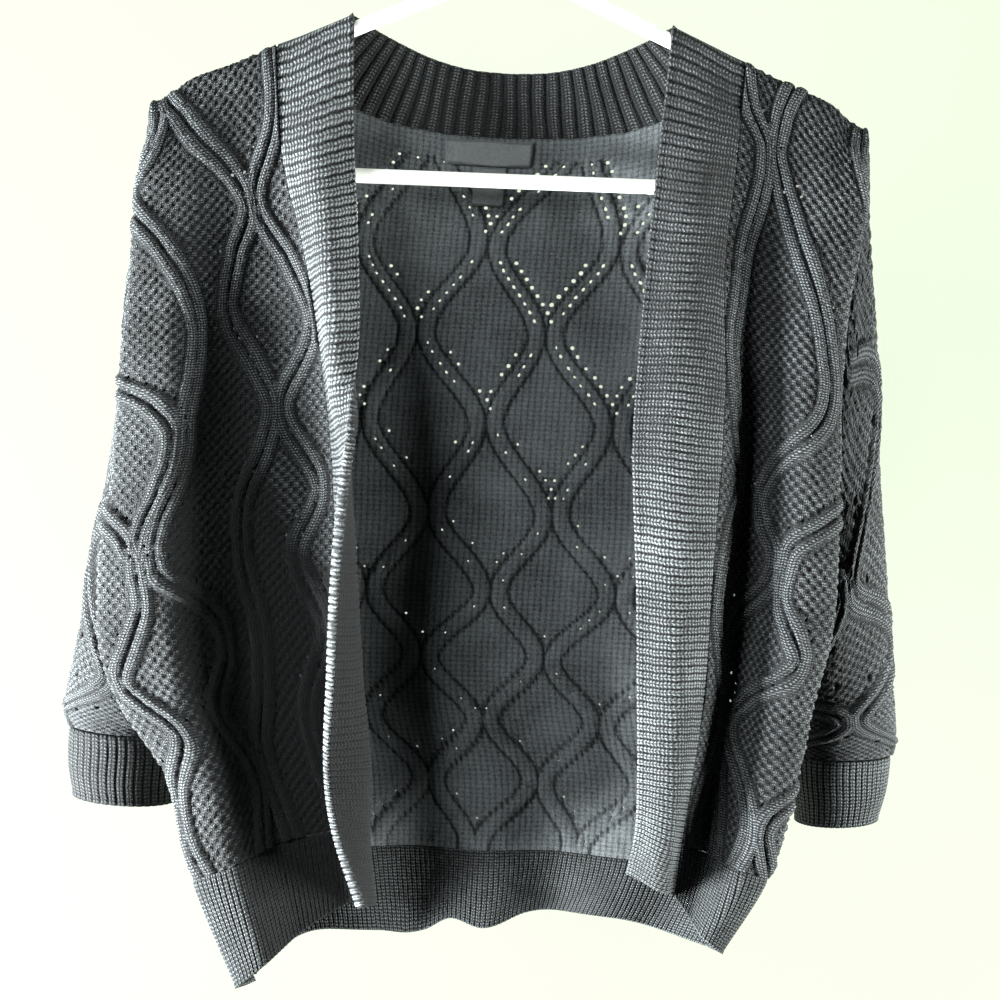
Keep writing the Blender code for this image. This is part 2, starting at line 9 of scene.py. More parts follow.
import bmesh
import bpy
import numpy as np
from mathutils import Matrix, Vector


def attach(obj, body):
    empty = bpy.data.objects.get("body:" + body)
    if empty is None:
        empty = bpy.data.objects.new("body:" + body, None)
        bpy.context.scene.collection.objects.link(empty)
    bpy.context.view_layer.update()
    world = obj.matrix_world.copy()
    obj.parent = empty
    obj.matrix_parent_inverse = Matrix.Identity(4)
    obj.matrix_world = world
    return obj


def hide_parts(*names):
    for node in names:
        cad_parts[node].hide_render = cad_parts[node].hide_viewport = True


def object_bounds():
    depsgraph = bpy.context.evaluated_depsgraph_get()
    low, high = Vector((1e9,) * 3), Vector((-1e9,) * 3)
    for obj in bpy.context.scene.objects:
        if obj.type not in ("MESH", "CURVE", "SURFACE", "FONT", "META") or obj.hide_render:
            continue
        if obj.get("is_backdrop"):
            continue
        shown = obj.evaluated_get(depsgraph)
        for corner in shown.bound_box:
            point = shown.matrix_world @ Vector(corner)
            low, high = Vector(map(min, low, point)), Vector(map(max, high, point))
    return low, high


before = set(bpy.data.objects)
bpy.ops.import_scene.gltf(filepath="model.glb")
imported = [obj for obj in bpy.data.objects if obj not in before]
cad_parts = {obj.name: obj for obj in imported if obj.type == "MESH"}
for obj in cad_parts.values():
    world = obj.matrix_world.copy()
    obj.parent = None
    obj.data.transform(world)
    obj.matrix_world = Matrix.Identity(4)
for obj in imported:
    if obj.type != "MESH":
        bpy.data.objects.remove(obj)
cad_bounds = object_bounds()
MM = 0.001


# ================================================================ camera
# The photograph is taken from the front, level with the chest and about a metre away, with the
# picture turned a little.
CHEST = (0.0033, -0.4258)     # x and z of what the camera looks at
AWAY = 1.0
PICTURE_TURN = math.radians(-2.2)
camera_data = bpy.data.cameras.new("camera")
camera_data.lens = 58.0
camera_data.sensor_width = 36.0
camera = bpy.data.objects.new("camera", camera_data)
camera.location = (CHEST[0], -AWAY, CHEST[1])
camera.rotation_euler = (math.radians(90), PICTURE_TURN, 0)
bpy.context.scene.collection.objects.link(camera)
bpy.context.scene.camera = camera
bpy.context.scene.view_settings.view_transform = "Standard"


# ================================================================ wall and light
# The cardigan hangs in front of a pale painted wall. Sun through a window on the left grazes it, the
# sky through the same window fills in from the front, and the room on the right brightens that side.
WALL_BEHIND = 0.24           # from the hanger to the wall
SHADE_REACH = 0.3            # how far the cardigan's shade spreads on the wall
LIT_MIDDLE = (0.0, 0.0, -0.42)


def linear(hex_colour):
    """An sRGB hex colour as linear red, green, blue and alpha."""
    parts = [int(hex_colour[i : i + 2], 16) / 255 for i in (1, 3, 5)]
    return (*((c / 12.92 if c <= 0.04045 else ((c + 0.055) / 1.055) ** 2.4) for c in parts), 1.0)


def add(tree, kind, inputs=(), **settings):
    """A node with its settings. inputs gives each input a value, or links it to another node's output."""
    made = tree.nodes.new(kind)
    for setting, value in settings.items():
        setattr(made, setting, value)
    for key, value in dict(inputs).items():
        if isinstance(value, bpy.types.NodeSocket):
            tree.links.new(value, made.inputs[key])
        else:
            made.inputs[key].default_value = value
    return made


def finish_named(name):
    """A new material's name, node tree and principled shader."""
    made = bpy.data.materials.new(name)
    made.use_nodes = True
    return made, made.node_tree, made.node_tree.nodes["Principled BSDF"]


def put(name, bm, material):
    """An object from a bmesh, in the scene."""
    mesh = bpy.data.meshes.new(name)
    bm.to_mesh(mesh)
    bm.free()
    mesh.materials.append(material)
    made = bpy.data.objects.new(name, mesh)
    bpy.context.scene.collection.objects.link(made)
    return made


# Matt emulsion paint, overexposed in the photograph: it glows evenly, and its glow is dimmed where the
# cardigan hangs close in front of it, which paints the cardigan's shade on the wall.
wall_paint, tree, shader = finish_named("pale_emulsion_paint")
shader.inputs["Base Color"].default_value = linear("#22241f")
shader.inputs["Roughness"].default_value = 0.9
shader.inputs["Emission Color"].default_value = linear("#f4ffe6")
# Painted shade: the less open the wall is to the room, the less it glows.
open_air = add(tree, "ShaderNodeAmbientOcclusion", {"Distance": SHADE_REACH}, samples=4).outputs["AO"]
shaded, in_the_open, least_glow, most_glow = 0.22, 0.62, 0.1, 0.9
glow = add(
    tree, "ShaderNodeMapRange", {0: open_air, 1: shaded, 2: in_the_open, 3: least_glow, 4: most_glow}
).outputs[0]
tree.links.new(glow, shader.inputs["Emission Strength"])
# From behind the wall is clear, so that the cardigan's back can be looked at.
behind = add(tree, "ShaderNodeNewGeometry").outputs["Backfacing"]
opaque = add(tree, "ShaderNodeMath", {0: 1.0, 1: behind}, operation="SUBTRACT").outputs[0]
tree.links.new(opaque, shader.inputs["Alpha"])
bm = bmesh.new()
bmesh.ops.create_grid(bm, x_segments=4, y_segments=4, size=2.5)
bmesh.ops.rotate(bm, verts=bm.verts, cent=(0, 0, 0), matrix=Matrix.Rotation(math.pi / 2, 3, "X"))
bmesh.ops.translate(bm, verts=bm.verts, vec=(0, WALL_BEHIND, -0.6))
put("wall", bm, wall_paint)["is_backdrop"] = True

for name, place, size, power, colour in (
    # name, place, width and height, watts, colour
    ("sun", (-1.85, -0.50, -1.15), (0.6, 0.8), 470.0, "#f8fdff"),
    ("sky", (-1.55, -1.75, 0.20), (0.9, 1.0), 58.0, "#f8fdff"),
    ("room", (2.00, -0.45, -0.95), (0.8, 1.0), 165.0, "#fbfffd"),
):
    light = bpy.data.lights.new(name, "AREA")
    light.shape = "RECTANGLE"
    light.size, light.size_y = size
    light.energy = power
    light.color = linear(colour)[:3]
    lamp = bpy.data.objects.new(name, light)
    lamp.location = place
    aim = np.array(LIT_MIDDLE) - np.array(place)
    lamp.rotation_euler = (
        math.atan2(math.hypot(aim[0], aim[1]), -aim[2]),
        0.0,
        math.atan2(aim[1], aim[0]) - math.pi / 2,
    )
    bpy.context.scene.collection.objects.link(lamp)
world = bpy.data.worlds.new("room_light")
world.use_nodes = True
world.node_tree.nodes["Background"].inputs["Color"].default_value = linear("#e9f0ea")
world.node_tree.nodes["Background"].inputs["Strength"].default_value = 0.03
bpy.context.scene.world = world


# ================================================================ the hanger
# A white clothes hanger of one moulding: a round tube bent to two sloping arms with round ends and a
# straight bar, with the hook blended into the bend where the arms meet.
TUBE, TUBE_SIDES = 4.5, 24   # radius, and how many sides draw it
HOOK_RADIUS = 26.0
APEX_Z, BAR_Z = -93.5, -228.0
ARM_SLOPE = math.radians(24.0)
END_RADIUS, APEX_RADIUS = 25.0, 14.0
HOOK_LEAN, HOOK_TURN = 50.0, 240.0


def walk(place, heading, moves):
    """A path in the plane y = 0: straight moves and bends, each with its radius and its turn."""
    path = [np.array(place, float)]
    for length, radius, turn in moves:
        steps = math.ceil(abs(turn) / 5) if radius else max(1, round(length / 6))
        for _ in range(steps):
            bend = math.radians(turn / steps) if radius else 0.0
            stride = 2 * radius * math.sin(abs(bend) / 2) if radius else length / steps
            heading += bend / 2
            path.append(path[-1] + stride * np.array([math.cos(heading), math.sin(heading)]))
            heading += bend / 2
    return path


def tube(path, closed):
    """A round tube along a path: one circle for each place, and the circles bridged."""
    bm = bmesh.new()
    count = len(path)
    # Rings of the rounded end: how far each lies beyond the path's last place, and its size.
    tips = [] if closed else [(math.sin(a), math.cos(a)) for a in np.radians((20, 40, 60, 78, 88))]
    rings = []
    for i, place in enumerate(path):
        before = path[i - 1] if closed or i else place
        after = path[(i + 1) % count] if closed or i < count - 1 else place
        ahead = (after - before) / np.linalg.norm(after - before)
        rounds = [(0.0, 1.0)] + (tips if not closed and i == count - 1 else [])
        for forward, round_ in rounds:
            made = bmesh.ops.create_circle(bm, segments=TUBE_SIDES, radius=TUBE * round_ * MM)["verts"]
            centre = (place + ahead * TUBE * forward) * MM
            for vert in made:
                across = vert.co.x
                vert.co = (centre[0] - ahead[1] * across, vert.co.y, centre[1] + ahead[0] * across)
            rings.append(made)
    pairs = list(zip(rings, rings[1:])) + ([(rings[-1], rings[0])] if closed else [])
    for one, two in pairs:
        for k in range(TUBE_SIDES):
            after = (k + 1) % TUBE_SIDES
            bm.faces.new((one[k], one[after], two[after], two[k]))
    if not closed:
        bm.faces.new(rings[0])
        bm.faces.new(rings[-1])
    bmesh.ops.recalc_face_normals(bm, faces=bm.faces)
    return bm


# Polypropylene, injection moulded and glossy: white and a little translucent, with the soft ripple of a
# moulded skin. Its emission is a painted glow, which keeps it white as if it were a lamp.
hanger_plastic, tree, shader = finish_named("moulded_white_polypropylene")
place = add(tree, "ShaderNodeTexCoord").outputs["Object"]
ripple = add(tree, "ShaderNodeTexNoise", {"Vector": place, "Scale": 90.0, "Detail": 2.0}).outputs["Fac"]
grime = add(tree, "ShaderNodeTexNoise", {"Vector": place, "Scale": 14.0, "Detail": 5.0}).outputs["Fac"]
tint = add(tree, "ShaderNodeValToRGB", {"Fac": grime})
tint.color_ramp.elements[0].position, tint.color_ramp.elements[0].color = 0.3, linear("#e9ebe4")
tint.color_ramp.elements[1].position, tint.color_ramp.elements[1].color = 0.7, linear("#f6f8f3")
tree.links.new(tint.outputs["Color"], shader.inputs["Base Color"])
bump = add(tree, "ShaderNodeBump", {"Height": ripple, "Strength": 0.25, "Distance": 0.0006})
tree.links.new(bump.outputs["Normal"], shader.inputs["Normal"])
shader.inputs["Roughness"].default_value = 0.32
shader.inputs["IOR"].default_value = 1.49
# Painted glow: the plastic gives off light of its own.
shader.inputs["Emission Color"].default_value = linear("#fbfff4")
shader.inputs["Emission Strength"].default_value = 0.5

corner = (APEX_Z - BAR_Z) / math.tan(ARM_SLOPE)
bar_half = corner - END_RADIUS / math.tan(ARM_SLOPE / 2)
slope = math.degrees(ARM_SLOPE)
arm = math.hypot(corner, APEX_Z - BAR_Z) - END_RADIUS / math.tan(ARM_SLOPE / 2)
arm -= APEX_RADIUS * math.tan(ARM_SLOPE)
loop = walk(
    (-bar_half, BAR_Z),
    0.0,
    (
        (2 * bar_half, 0, 0),
        (0, END_RADIUS, 180 - slope),
        (arm, 0, 0),
        (0, APEX_RADIUS, 2 * slope),
        (arm, 0, 0),
        (0, END_RADIUS, 180 - slope),
    ),
)
hanger = put("hanger_tube", tube(loop[:-1], True), hanger_plastic)
cosine, sine = math.cos(math.radians(HOOK_LEAN)), math.sin(math.radians(HOOK_LEAN))
lean_radius = HOOK_RADIUS * cosine / (1 - cosine)
stem = TUBE - HOOK_RADIUS - (HOOK_RADIUS + lean_radius) * sine - APEX_Z
hook_path = walk(
    (0.0, APEX_Z),
    math.pi / 2,
    ((stem, 0, 0), (0, lean_radius, -HOOK_LEAN), (0, HOOK_RADIUS, HOOK_TURN)),
)
hook = put("hanger_hook", tube(hook_path, False), hanger_plastic)
joined = hanger.modifiers.new("hook", "BOOLEAN")
joined.operation = "UNION"
joined.object = hook
bpy.context.view_layer.update()
moulding = bpy.data.meshes.new_from_object(hanger.evaluated_get(bpy.context.evaluated_depsgraph_get()))
hanger.modifiers.clear()
hanger.data = moulding
bpy.data.objects.remove(hook)
for face in hanger.data.polygons:
    face.use_smooth = True
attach(hanger, "root")
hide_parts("hanger")


# ================================================================ the back panel
# One knitted panel from the shoulder seams to the hem, with a trellis of cables on its outside. Its
# inside, which shows between the open fronts, is the reverse of the knitting with rows of eyelets
# beside the cables. It lies over the hanger's arms, is sewn to the fronts at shoulder and side, and
# falls in soft flutes.
CLOTH = 2.4              # thickness of the knitting
SEAM = 0.35              # gap along a seam, as between the model's solids
TURNED_SEAM = 0.9            # the same where the edge is turned in
OVER_ARM = 6.2               # radius of the cloth's bend over the hanger's arm
ARM_RISE = OVER_ARM / math.cos(ARM_SLOPE)
WRAP = OVER_ARM * math.pi / 2
# Distance down the cloth of each section, from the side of the hanger's arm to the bottom of the hem.
DOWN = np.array([WRAP, 58, 118, 182, 230, 252, 302, 366, 421, 470, 524])
HEM_TOP, CLOTH_END = DOWN[-2], DOWN[-1]

# One row for each section of a front. free_z, seam_z and side_z are the heights at the band's free
# edge, at the band's seam and at the side. The pairs are x and y of: the band's free edge, the middle
# of the band, the band's seam, the valley beside it, the bulge over the side, the fold at the side,
# and the side seam, to which the back is sewn.
LEFT_FRONT = np.array((
    # free_z, seam_z, side_z, free edge, mid band, band seam, valley, bulge, side fold, side seam
    (-137.2, -158.5, -196.5, -98, -6.2, -121, -6.2, -145, -6.2, -172, -6.2, -199, -6.2, -218, -6.4,
     -221.5, -6.5),
    (-205, -218, -240, -95, -14, -117, -19, -138, -12, -167, -9, -199, -15, -224, -12, -221, -6.6),
    (-270, -280, -300, -90, -22, -107, -31, -121, -14, -166, -6, -205, -20, -227, -15, -219, -6.6),
    (-340, -346, -365, -86, -36, -97, -42, -108, -13, -160, -3, -203, -27, -230, -19, -217, -6.2),
    (-392, -396, -412, -86, -50, -90, -38, -101, -8, -155, -1, -200, -30, -232, -20, -214, -2.8),
    (-414, -418, -434, -88, -54, -88, -37, -99, -6, -153, 0, -200, -32, -234, -21, -212, -4.5),
    (-470, -470, -485, -92, -53, -83, -35, -96, -4, -149, 2, -200, -34, -238, -23, -214, -8.5),
    (-535, -535, -550, -93, -52, -78, -35, -88, -2, -146, 4, -190, -33, -226, -24, -206, -9),
    (-588, -590, -605, -94, -46, -71, -31, -82, -1, -138, 4, -167, -30, -190, -22, -177, -6),
    (-624, -632, -664, -88, -45, -70, -30, -79, -3, -124, -2, -152, -27, -174, -17, -163, -3),
    (-671, -676, -730, -70, -43, -64, -25, -75, -6, -108, -8, -131, -26, -145, -14, -138, 0),
))
RIGHT_FRONT = np.array((
    (-137.2, -158, -196.5, 98, -6.2, 121, -6.2, 144, -6.2, 171, -6.2, 199, -6.2, 218, -6.4, 221.5, -6.5),
    (-205, -212, -240, 93, -14, 116, -20, 140, -12, 166, -9, 197, -16, 219, -13, 215, -6.6),
    (-275, -280, -300, 88, -20, 111, -28, 134, -18, 157, -7, 190, -22, 210, -17, 206, -6.6),
    (-345, -348, -365, 84, -26, 110, -35, 136, -25, 158, -3, 187, -26, 208, -21, 197, -6.2),
    (-392, -396, -412, 83, -28, 108, -38, 135, -29, 156, 1, 187, -29, 208, -23, 191, -2.8),
    (-414, -418, -434, 84, -29, 109, -39, 134, -30, 155, 2, 187, -30, 208, -24, 190, -4.5),
    (-470, -472, -485, 88, -30, 111, -40, 132, -30, 154, 1, 186, -32, 207, -26, 188, -8.5),
    (-535, -537, -550, 91, -32, 112, -42, 130, -28, 150, 1, 179, -32, 196, -25, 180, -9),
    (-586, -590, -602, 93, -34, 112, -43, 125, -24, 144, 0, 171, -30, 187, -22, 172, -6),
    (-620, -632, -650, 94, -29, 110, -39, 121, -16, 138, -4, 160, -28, 174, -18, 162, -4),
    (-650, -664, -697, 91, -16, 109, -34, 119, -12, 128, -14, 138, -26, 148, -15, 142, -2),
))
# Height and depth at the centre of the back and depth at the side seam.
BACK = np.array((
    # centre_z  centre_y  side_y
    (-206, 25, 6.5), (-248, 25, 6.6), (-303, 26, 6.6), (-365, 27, 6.2), (-412, 28, 2.0), (-434, 28, -4.5),
    (-485, 30, -8.5), (-550, 32, -8), (-603, 34, -4.4), (-650, 35, -3.5), (-697, 36, -1),
))
# The back's top edge from the centre (share 0) to the tip of the shoulder (share 1).
NECK_SHARE = 0.655
BACK_TOP = np.array((
    # share  z  y
    (0.00, -196, 25), (0.18, -195, 24), (0.34, -190, 21), (0.47, -181, 15), (0.55, -171, 11.0),
    (0.585, -159.5, 9.2), (0.605, -151.0, 8.2), (0.63, -149.0, 4.6), (0.655, -149.4, 0.3),
    (0.78, -162.6, 0.3), (0.89, -174.2, 0.3), (1.00, -189.7, 0.3),
))
BACK_ROUND, BACK_RISE = 0.8, 6   # how full the back's section is, and how late its hem rises to the side
FLUTES, FLUTE_DEPTH = 3.5, 7.0


def smooth_through(knots, values, at):
    """A cubic curve through the values at the knots, read at the places in at."""
    knots, values = np.asarray(knots, float), np.asarray(values, float)
    slopes = np.gradient(values, knots, axis=0)
    at = np.clip(np.asarray(at, float), knots[0], knots[-1])
    i = np.clip(np.searchsorted(knots, at, side="right") - 1, 0, len(knots) - 2)
    step = (knots[i + 1] - knots[i])[:, None]
    t = (at - knots[i])[:, None] / step
    return (
        values[i] * (2 * t**3 - 3 * t**2 + 1)
        + values[i + 1] * (3 * t**2 - 2 * t**3)
        + slopes[i] * step * (t**3 - 2 * t**2 + t)
        + slopes[i + 1] * step * (t**3 - t**2)
    )


def back_section(v, t):
    """The back from its left side seam (t = 0) to its right one (t = 1), at v down the cloth."""
    left_z, left_x = smooth_through(DOWN, LEFT_FRONT[:, [2, -2]], [v])[0]
    right_z, right_x = smooth_through(DOWN, RIGHT_FRONT[:, [2, -2]], [v])[0]
    centre_z, centre_y, side_y = smooth_through(DOWN, BACK, [v])[0]
    way = 2 * t - 1
    share = np.abs(way)
    centre_x = (left_x + right_x) / 2
    x = centre_x + (np.where(way < 0, left_x, right_x) - centre_x) * share
    y = side_y + (centre_y - side_y) * (1 - share**2) ** BACK_ROUND
    z = centre_z + (np.where(way < 0, left_z, right_z) - centre_z) * share**BACK_RISE
    if v < DOWN[2]:
        edge_z, edge_y = (np.interp(share, BACK_TOP[:, 0], BACK_TOP[:, k]) for k in (1, 2))
        first = np.arcsin(np.clip(edge_y / OVER_ARM, 0, 1))
        angle = np.minimum(first + v / OVER_ARM, math.pi / 2)
        top_y = np.maximum(edge_y, OVER_ARM * np.sin(angle))
        top_z = edge_z - ARM_RISE * (np.cos(first) - np.cos(angle)) - (v - (angle - first) * OVER_ARM)
        fade = (1 - max(0.0, v - WRAP) / (DOWN[2] - WRAP)) ** 2
        y = y + (top_y - y) * fade
        z = z + (top_z - z) * fade
    grown = max(0.0, (v - DOWN[6]) / (CLOTH_END - DOWN[6]))
    y = y + FLUTE_DEPTH * grown * np.sin(2 * math.pi * FLUTES * t) * (1 - share**4)
    return np.column_stack([x, y, z])


def widths_of(section, downs, start=0.0, end=0.0):
    """Width of the cloth at each distance down, measured along its section."""
    t = np.linspace(0, 1, 97)
    return np.array([
        np.linalg.norm(np.diff(section(v, t), axis=0), axis=1).sum() - start - end for v in downs
    ])


def laid_out(section, downs, shares, start=0.0, end=0.0):
    """The middle of the cloth, a point for each row and column. start and end are left off for seams."""
    t = np.linspace(0, 1, 193)
    rows = []
    for v, share in zip(downs, shares):
        steps = np.linalg.norm(np.diff(section(v, t), axis=0), axis=1)
        lengths = np.concatenate([[0], np.cumsum(steps)])
        along = start + share * (lengths[-1] - start - end)
        rows.append(section(v, np.interp(along, lengths, t)))
    return np.array(rows)


def facing(points, side, closed=False):
    """The way out of the cloth at each point. side is -1 where the outside lies against the normal."""
    wide = np.concatenate([points[:, -2:-1], points, points[:, 1:2]], axis=1) if closed else points
    normal = np.cross(np.gradient(wide, axis=1), np.gradient(wide, axis=0))
    normal = normal[:, 1:-1] if closed else normal
    return side * normal / np.linalg.norm(normal, axis=2)[..., None]


def knitted(name, points, out, outer, inner, stitches, marks, closed=False, eyelets=()):
    """A wall of knitting: a flat grid with its eyelets open is thickened to a shell, and its two faces
    are laid on the piece's form. outer and inner are how far they lie from the middle of the cloth,
    stitches the place in stitches across and down, and marks what the yarn's material reads."""
    rows, columns = outer.shape
    bm = bmesh.new()
    bmesh.ops.create_grid(bm, x_segments=columns - 1, y_segments=rows - 1, size=1.0)
    place, under = bm.verts.layers.int.new("place"), bm.verts.layers.int.new("under")
    for i, vert in enumerate(bm.verts):
        vert[place] = i
    bm.verts.ensure_lookup_table()
    if closed:
        seam = {bm.verts[r * columns + columns - 1]: bm.verts[r * columns] for r in range(rows)}
        bmesh.ops.weld_verts(bm, targetmap=seam)
        bm.verts.ensure_lookup_table()
    if eyelets:
        open_at = [bm.verts[row * columns + column] for row, column, radius in eyelets]
        bmesh.ops.delete(bm, geom=open_at, context="VERTS")
    shell = bmesh.ops.solidify(bm, geom=bm.faces[:], thickness=0.5)["geom"]
    for part in shell:
        if isinstance(part, bmesh.types.BMVert):
            part[under] = 1
    mesh = bpy.data.meshes.new(name)
    bm.to_mesh(mesh)
    bm.free()

    where, below = np.empty(len(mesh.vertices), np.int32), np.empty(len(mesh.vertices), np.int32)
    mesh.attributes["place"].data.foreach_get("value", where)
    mesh.attributes["under"].data.foreach_get("value", below)
    faces = [points + out * outer[..., None], points + out * inner[..., None]]
    for row, column, radius in eyelets:
        for face in faces:
            centre = face[row, column]
            for r in (row - 1, row, row + 1):
                for c in (column - 1, column, column + 1):
                    if (r, c) != (row, column):
                        away = face[r, c] - centre
                        face[r, c] = centre + away / np.linalg.norm(away) * radius
    flat = [face.reshape(-1, 3) for face in faces]
    co = np.where(below[:, None] == 1, flat[1][where], flat[0][where]) * MM
    mesh.vertices.foreach_set("co", co.astype(np.float32).ravel())

    corners = np.empty(len(mesh.loops), np.int32)
    mesh.loops.foreach_get("vertex_index", corners)
    at = where[corners].reshape(-1, 4)
    column = at % columns
    if closed:
        column = np.where((column == 0) & (column.max(axis=1) > columns / 2)[:, None], columns - 1, column)
    across, down = (np.broadcast_to(s, (rows, columns)) for s in stitches)
    row = at // columns
    uv = np.stack([across[row, column], down[row, column]], axis=2).reshape(-1, 2)
    mesh.uv_layers.new(name="stitches").data.foreach_set("uv", uv.astype(np.float32).ravel())
    for mark, values in marks.items():
        upper, lower = values if isinstance(values, tuple) else (values, values)
        upper, lower = (np.broadcast_to(v, (rows, columns)).ravel()[where] for v in (upper, lower))
        kept = np.where(below == 1, lower, upper).astype(np.float32)
        mesh.attributes.new(mark, "FLOAT", "POINT").data.foreach_set("value", kept)
    for spent in ("place", "under"):
        mesh.attributes.remove(mesh.attributes[spent])
    made = bpy.data.objects.new(name, mesh)
    bpy.context.scene.collection.objects.link(made)
    bm = bmesh.new()
    bm.from_mesh(mesh)
    bmesh.ops.recalc_face_normals(bm, faces=bm.faces)
    bm.to_mesh(mesh)
    bm.free()
    mesh.polygons.foreach_set("use_smooth", [True] * len(mesh.polygons))
    return made


# A cable is two ropes of three stitches each. They draw together where two cables meet and part where
# a cable runs aslant, and there a row of eyelets opens between them and another beside them.
ROPE_HALF, ROPE_HEIGHT = 3.6, 2.0
ROPES_APART = (3.3, 4.2)     # distance of a rope from the middle of its cable, upright and aslant
GUTTER, GUTTER_WIDTH, GUTTER_DEPTH = 4.0, 0.75, 0.5      # the hollow beside a rope, from its middle
CABLE_REACH, COMB_FROM, COMB_GROWS = 11.0, 7.8, 2.5      # from the middle of a cable
EYELETS_AT = (0.0, 9.6)      # distance of the two rows of eyelets from the middle of a cable
EYELETS_APART = 5.75
ASLANT = 0.36                # how far a cable leans where eyelets open beside it
WALE, COURSE = 2.2, 1.62     # width and height of one stitch
ROPE_WALE = 3.6              # width of a stitch on a rope
LUMPS = 0.26                 # unevenness of the knitting
PIT_ACROSS, PIT_DOWN = 3 * WALE, 4 * COURSE     # the pits of the honeycomb stand in staggered rows
PIT_DEPTH, KNOT_HEIGHT = 1.4, 0.5
# On the reverse a cable is a low ridge between two grooves: half width and height, and the grooves'
# distance from its middle, width and depth.
RIDGE_HALF, RIDGE_HEIGHT = 5.2, 0.9
GROOVE_AT, GROOVE_WIDTH, GROOVE_DEPTH = 5.7, 0.8, 0.8
NOWHERE = 9.0                # the share of a cable above its start and below its end


def trellis(first, spacing, count, rows, gap, drift=((0.0, 0.0), (999.0, 0.0))):
    """Cables of a trellis. Each swings between two upright lines and meets its neighbours there.
    rows are how far down the meetings lie, on even and on odd lines in turn."""
    drift_down, drift_share = np.array(drift).T
    cables = []
    for j in range(count):
        cable = []
        for i, down in enumerate(rows):
            share = first + spacing * j + gap if i % 2 == j % 2 else first + spacing * (j + 1) - gap
            cable.append((down, share + float(np.interp(down, drift_down, drift_share))))
        cables.append(cable)
    return cables


def ways_of(cables, downs):
    """Share of the width at which each cable runs, a column for each, and how fast it moves across."""
    ways = []
    for cable in cables:
        knots, places = np.array(cable, float).T
        way = smooth_through(knots, places[:, None], downs)[:, 0]
        ways.append(np.where((downs < knots[0]) | (downs > knots[-1]), NOWHERE, way))
    ways = np.array(ways).T
    slopes = np.gradient(ways, downs, axis=0)
    return ways, np.where(np.abs(slopes) > 0.1, 0.0, slopes)


def columns_for(middles, widths, count, closed=False, denser=None):
    """Shares of the columns of each row, which lie closer together where the cables run."""
    fine = np.linspace(0, 1, 601)
    shares = []
    for row, width in zip(middles, widths):
        off = fine[:, None] - row
        off = (off + 0.5) % 1 - 0.5 if closed else off
        weight = 1 + 0.6 * np.exp(-((off * width / 8.0) ** 2)).sum(axis=1)
        weight = weight if denser is None else weight * denser(fine)
        steps = np.concatenate([[0], np.cumsum((weight[1:] + weight[:-1]) / 2)])
        shares.append(np.interp(np.linspace(0, 1, count), steps / steps[-1], fine))
    return np.array(shares)


def step_up(x):
    """A smooth step from 0 to 1 as x goes from 0 to 1."""
    x = np.clip(x, 0, 1)
    return x * x * (3 - 2 * x)


def cabled(shares, downs, widths, cables, closed=False, bare=0.0):
    """Relief of the two faces of a cabled panel, its stitches, and its marks. The cables grow out of the
    cloth over the length bare."""
    v, width = np.asarray(downs)[:, None], widths[:, None]
    ways, slopes = ways_of(cables, downs)
    rope, reach = np.full(shares.shape, 99.0), np.full(shares.shape, 99.0)
    for j in range(len(cables)):
        off = shares - ways[:, j : j + 1]
        off = (off + 0.5) % 1 - 0.5 if closed else off
        lean = slopes[:, j : j + 1] * width
        d = off * width / np.sqrt(1 + lean**2)
        apart = ROPES_APART[0] + (ROPES_APART[1] - ROPES_APART[0]) * np.clip(np.abs(lean) / 0.6, 0, 1)
        for way in (-1, 1):
            rope = np.where(np.abs(d - way * apart) < np.abs(rope), d - way * apart, rope)
        reach = np.where(np.abs(d) < np.abs(reach), d, reach)
    grown = step_up(v / bare) if bare else 1.0
    far, off = np.abs(reach), np.abs(rope)
    crown = np.clip(1 - (off / ROPE_HALF) ** 2, 0, 1) ** 0.5
    gutter = np.exp(-(((off - GUTTER) / GUTTER_WIDTH) ** 2)) * step_up((CABLE_REACH - far) / 2)
    comb = step_up((far - COMB_FROM) / COMB_GROWS)
    across = (shares - 0.5) * width
    pits = np.cos(2 * math.pi * across / PIT_ACROSS) * np.cos(2 * math.pi * v / PIT_DOWN)
    pit, knot = comb * np.clip(pits, 0, 1), comb * np.clip(-pits, 0, 1)
    lumps = np.random.default_rng(len(downs)).normal(0.0, LUMPS, shares.shape)
    lumps = lumps * step_up(v / 3.0) * step_up((downs[-1] - v) / 3.0)
    cable = grown * (ROPE_HEIGHT * crown - GUTTER_DEPTH * gutter)
    outer = CLOTH / 2 + cable - PIT_DEPTH * pit + KNOT_HEIGHT * knot + lumps
    ridge = np.clip(1 - (far / RIDGE_HALF) ** 2, 0, 1) ** 0.5
    groove = np.exp(-(((far - GROOVE_AT) / GROOVE_WIDTH) ** 2))
    inner = -(CLOTH / 2 + grown * (RIDGE_HEIGHT * ridge - GROOVE_DEPTH * groove) + lumps)
    marks = {
        "cable": (
            step_up((ROPE_HALF + 0.2 - off) / 0.6) * grown,
            step_up((RIDGE_HALF + 0.2 - far) / 0.8) * grown,
        ),
        "off": (rope / ROPE_WALE, reach / WALE),
        "comb": comb,
        # The pit mark is painted shade: the yarn's material darkens the hollows beside the ropes and the
        # grooves of the reverse.
        "pit": (0.7 * gutter * grown, 0.7 * groove * grown),
        "reverse": (0.0, 1.0),
    }
    return outer, inner, (across / WALE, v / COURSE), marks


